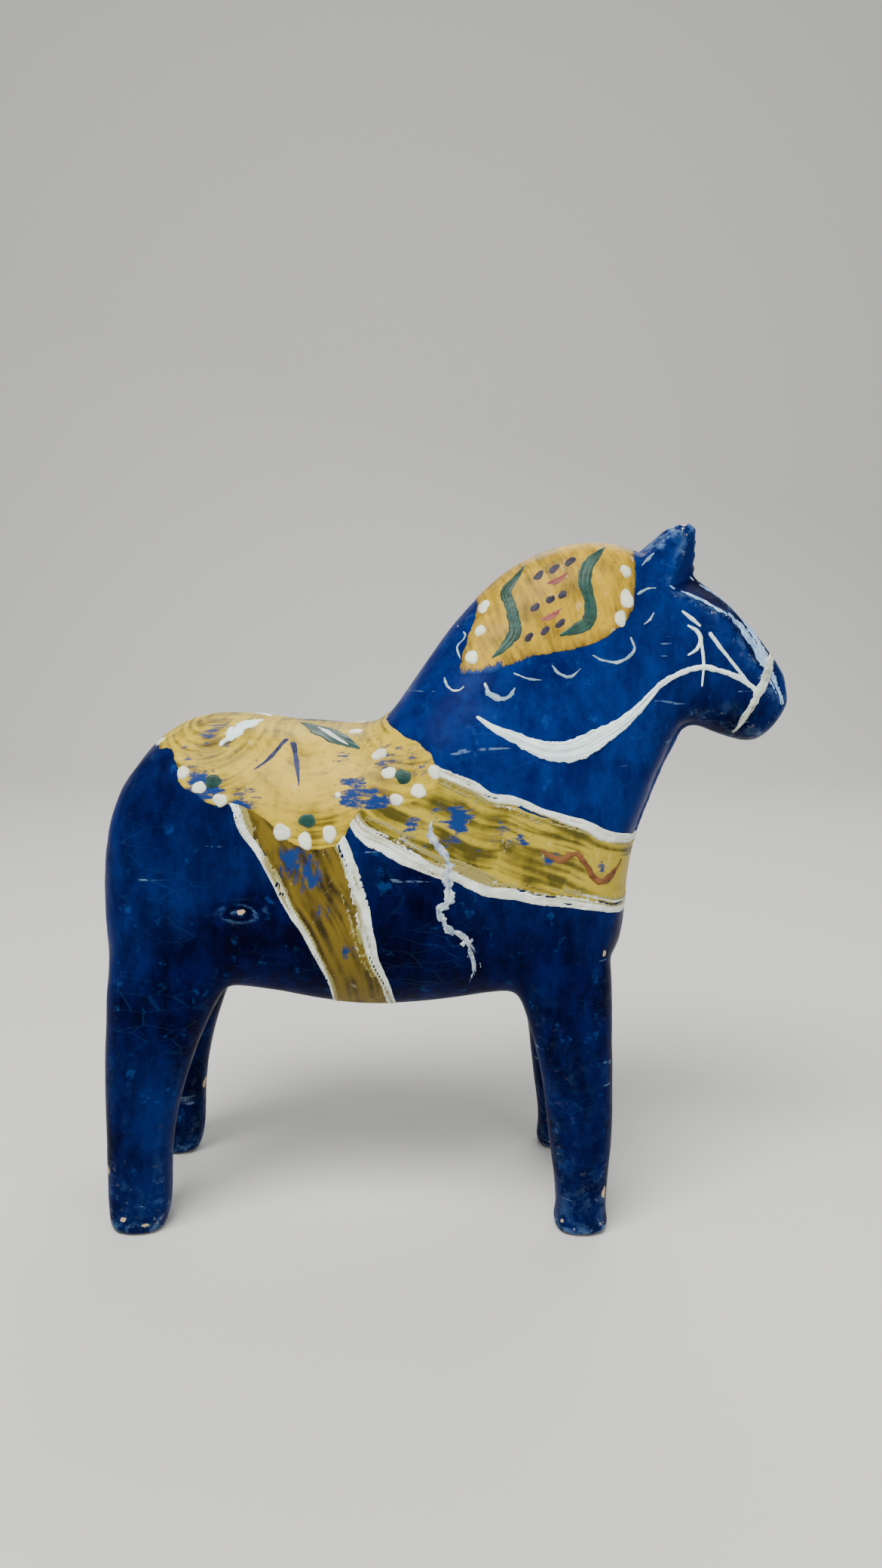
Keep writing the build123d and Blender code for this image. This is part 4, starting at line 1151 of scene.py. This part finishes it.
edge_lines_layer("girth_lines", "girth_edges", "girth_white", [
    (moved_line(GIRTH_REAR, 0.6, 0), [3.6, 4.2, 3.8, 3.0, 2.4, 1.6, 1.2], 81, 0.46, 1),
    (moved_line(GIRTH_FRONT, -1.4, 0), [6.0, 7.2, 6.8, 6.2, 4.8, 3.4, 2.6], 83, 0.52, -1)])
edge_lines_layer("breast_lines", "breast_band_edges", "breast_white", [
    (moved_line(BREAST_TOP, 0, -0.9), [3.8, 5.0, 4.6, 4.4, 4.4, 3.8], 85, 0.48, -1),
    (moved_line(BREAST_BOTTOM[1:8], 0, 1.4), [3.8, 8.4, 8.4, 6.8, 6.0, 5.4], 87, 0.48, 1),
    (moved_line(BREAST_BOTTOM[6:], 0, 1.0), [5.6, 5.6, 5.0, 5.0], 88, 0.50, 1)])
marks_layer("wave", "breast_band_wave", "wave_rust", rust_paint, strokes([
    ([(26.2, 111.1), (29, 109.2), (31.9, 108.5), (36, 109.7), (39, 106), (40.8, 102.8), (43.9, 101.6),
      (46.9, 103.6), (49.3, 106.7)], [0.6, 1.6, 1.9, 1.7, 1.5, 1.7, 1.9, 1.5, 0.6], 15)], rough=0.3),
    base=0.12, thickness=0.2)

# ---------------------------------------------------------------- white line work
marks_layer("rein", "rein_sweep", "rein_white", white_paint, strokes([
    ([(9.2, 146.4), (13.7, 143.4), (18.8, 141.2), (24.9, 138.4), (31, 137.1), (37.3, 138.2), (44.1, 141.7),
      (49, 144.5), (52.9, 147.5), (56.2, 150.5), (59.2, 153.6)],
     [0.8, 2.0, 3.2, 4.4, 5.8, 6.2, 5.4, 3.8, 3.0, 2.2, 1.5], 16,
     {"rough": 0.10, "dry": 0.16, "ridges": 1.6}),
    ([(58.4, 152.8), (61, 155), (65.9, 157.6), (72.2, 159.2), (78.9, 157.7), (84.8, 155.3), (89, 152.3)],
     [1.5, 1.5, 1.4, 1.6, 1.5, 1.6, 1.0], 17, {"rough": 0.2})]), base=0.05, thickness=0.36)
marks_layer("bridle", "bridle_strokes", "bridle_white", white_paint, strokes([
    ([(74.5, 168.4), (77.6, 164.5), (81.3, 160.2), (84.6, 156.4), (88.4, 151.9)],
     [1.2, 1.0, 0.9, 0.9, 0.7], 18),
    ([(66.4, 174.6), (68.8, 172.8), (71.4, 170.7)], [0.6, 1.2, 0.7], 19),
    ([(68.1, 170.7), (70.6, 169.2), (71.7, 166.9), (70.6, 164.2), (68.2, 162.6)],
     [0.6, 1.1, 1.2, 1.0, 0.5], 20),
    ([(71.9, 166.5), (72.7, 160.3), (72.4, 154)], [0.9, 0.9, 0.4], 21, {"dry": 0.3})]),
    base=0.05, thickness=0.3)
marks_layer("nose_strap", "noseband", "noseband_white", strap_paint, strokes([
    ([(96.6, -3, 162.6), (94.8, 161.2), (92.9, 158), (90.8, 154.6), (87.6, 148.5), (85.2, 144.2),
      (83.1, 140.7)], [2.0, 3.2, 3.4, 2.6, 2.2, 1.9, 0.9], 22)], rough=0.22, dry=0.25),
    base=0.06, thickness=0.32)
# painted highlight: pale strokes along the brow ridges stand for light on them; the strip down the nose's
# bevel is partly worn pale paint, partly painted highlight
marks_layer("nose_light", "nose_highlight", "nose_pale_blue", pale_blue_highlight_paint, strokes([
    ([(80.6, 173.6), (84.5, 170), (88.4, 165), (92.2, 159.4), (95, 154), (97, 149)],
     [1.4, 3.6, 5.2, 5.4, 5.0, 1.6], 23, {"dry": 0.47}),
    ([(82.4, 175.6), (86.6, 171.2), (90.4, 166), (94.2, 160.6)], [0.6, 2.0, 2.4, 1.4], 27, {"dry": 0.3}),
    ([(62.3, 181.9), (70.5, 178.6), (79.3, 173.8)], [0.5, 1.0, 1.1], 28),
    ([(70.3, 184.2), (76, 180.6), (82, 175.8)], [0.6, 1.1, 0.9], 29)], rough=0.5, dry=0.36),
    base=0.02, thickness=0.14)
CURL_THINNESS = 0.75
curl_lines = [
    ([(58.6, 190.6), (57, 189.2), (55.3, 187.3)], [0.6, 1.1, 0.5]),
    ([(58.8, 181), (56.4, 180.8), (53.7, 179.3)], [0.5, 1.0, 0.5]),
    ([(58.2, 174.2), (57.1, 172.3), (55.4, 171.1)], [0.4, 0.9, 0.5]),
    ([(51.7, 167.4), (52.6, 163.9), (48.5, 160.9), (43.8, 161.3), (40.3, 162.8)], [0.5, 1.1, 1.2, 1.0, 0.5]),
    ([(29.6, 160.1), (31.4, 157.9), (34.6, 156.9), (37.5, 159.1)], [0.5, 1.0, 1.1, 0.4]),
    ([(19.3, 157.9), (23, 156.5), (27.1, 156.1)], [0.5, 0.9, 0.4]),
    ([(11.3, 155.2), (12.4, 152.6), (15.4, 151.2), (18, 151.9), (19.3, 153.9)], [1.0, 2.1, 2.3, 1.7, 0.6]),
    ([(0.3, 156.7), (1, 154.6), (2.5, 153.3), (4.4, 153.4), (5.6, 154.4)], [0.4, 0.9, 1.0, 0.8, 0.4]),
    ([(4.2, 170.6), (6.2, 168), (3.9, 164.9), (4.8, 161.6)], [0.4, 0.8, 0.8, 0.4])]
curl_rows = [(path, [CURL_THINNESS * w for w in widths], seed)
             for seed, (path, widths) in enumerate(curl_lines, 24)]
marks_layer("curls", "neck_curls", "curl_white", curl_paint, strokes(curl_rows, rough=0.3, dry=0.3),
            base=0.03, thickness=0.2)
marks_layer("flank_line", "flank_drip", "drip_white", drip_paint, strokes([
    ([(-3.1, 119.1), (-3.7, 115.9), (-1.9, 112.6), (0.7, 109.4), (1.3, 104.2), (1.3, 97), (-0.9, 94.9),
      (0.1, 90.8), (2, 88.7), (5.2, 87.4), (8.1, 81.5), (8.8, 76.7), (7.5, 72.3)],
     [0.8, 1.9, 1.7, 2.1, 2.3, 2.0, 1.3, 1.9, 1.7, 2.2, 2.2, 1.6, 0.6], 40)], rough=0.7, dry=0.5),
    base=0.04, thickness=0.24)

# ---------------------------------------------------------------- floor, light and camera, in metres
FLOOR = 3.0          # half the floor's width
BACK = 0.9           # where the floor begins to curve up
CURVE = 0.4          # radius of that curve
CURVE_STEPS = 8
BACKDROP_TOP = 2.6
MIDDLE = (0, 0, 0.1)


def backdrop():
    """A grey floor that curves up behind the horse."""
    line = [(-FLOOR, 0)]
    for k in range(CURVE_STEPS + 1):
        a = math.pi / 2 * k / CURVE_STEPS
        line.append((BACK + CURVE * math.sin(a), CURVE * (1 - math.cos(a))))
    line.append((BACK + CURVE, BACKDROP_TOP))
    points = [(side, depth, height) for depth, height in line for side in (-FLOOR, FLOOR)]
    faces = [(2 * k, 2 * k + 1, 2 * k + 3, 2 * k + 2) for k in range(len(line) - 1)]
    mesh = bpy.data.meshes.new("floor")
    mesh.from_pydata(points, [], faces)
    mesh.shade_smooth()
    mesh.materials.append(Shader("floor_grey").finish((0.62, 0.61, 0.58), 0.75))
    return linked(bpy.data.objects.new("floor", mesh))


floor = backdrop()


def lamp(name, place, target, size, power, colour):
    """A rectangular soft box that faces its target."""
    data = bpy.data.lights.new(name, "AREA")
    data.shape = "RECTANGLE"
    data.size, data.size_y = size
    data.energy = power
    data.color = colour
    obj = linked(bpy.data.objects.new(name, data))
    obj.location = place
    obj.rotation_euler = (Vector(target) - Vector(place)).to_track_quat("-Z", "Y").to_euler()


lamp("key", (-0.30, -0.60, 1.15), MIDDLE, (0.8, 0.6), 27, (1.0, 0.99, 0.97))
lamp("fill", (0.9, -0.9, 0.45), MIDDLE, (0.8, 0.8), 5.0, (0.92, 0.96, 1.0))
lamp("rear", (0.2, 0.8, 0.9), (0, 0, 0.12), (0.8, 0.5), 7, (1.0, 1.0, 1.0))
world = bpy.data.worlds.new("studio")
bpy.context.scene.world = world
world.use_nodes = True
sky = world.node_tree.nodes["Background"]
sky.inputs["Color"].default_value = (0.93, 0.96, 1.0, 1.0)
sky.inputs["Strength"].default_value = 0.40

CAMERA_PLACE = (-0.00535, -0.3441, 0.1730)
CAMERA_TILT = math.radians(81.93)
CAMERA_TURN = math.radians(-0.49)
camera_data = bpy.data.cameras.new("camera")
camera_data.sensor_fit = "AUTO"
camera_data.sensor_width = 36
camera_data.lens = 27
camera_data.clip_start = 0.01
camera = linked(bpy.data.objects.new("camera", camera_data))
camera.location = CAMERA_PLACE
camera.rotation_euler = (CAMERA_TILT, 0, CAMERA_TURN)
bpy.context.scene.camera = camera
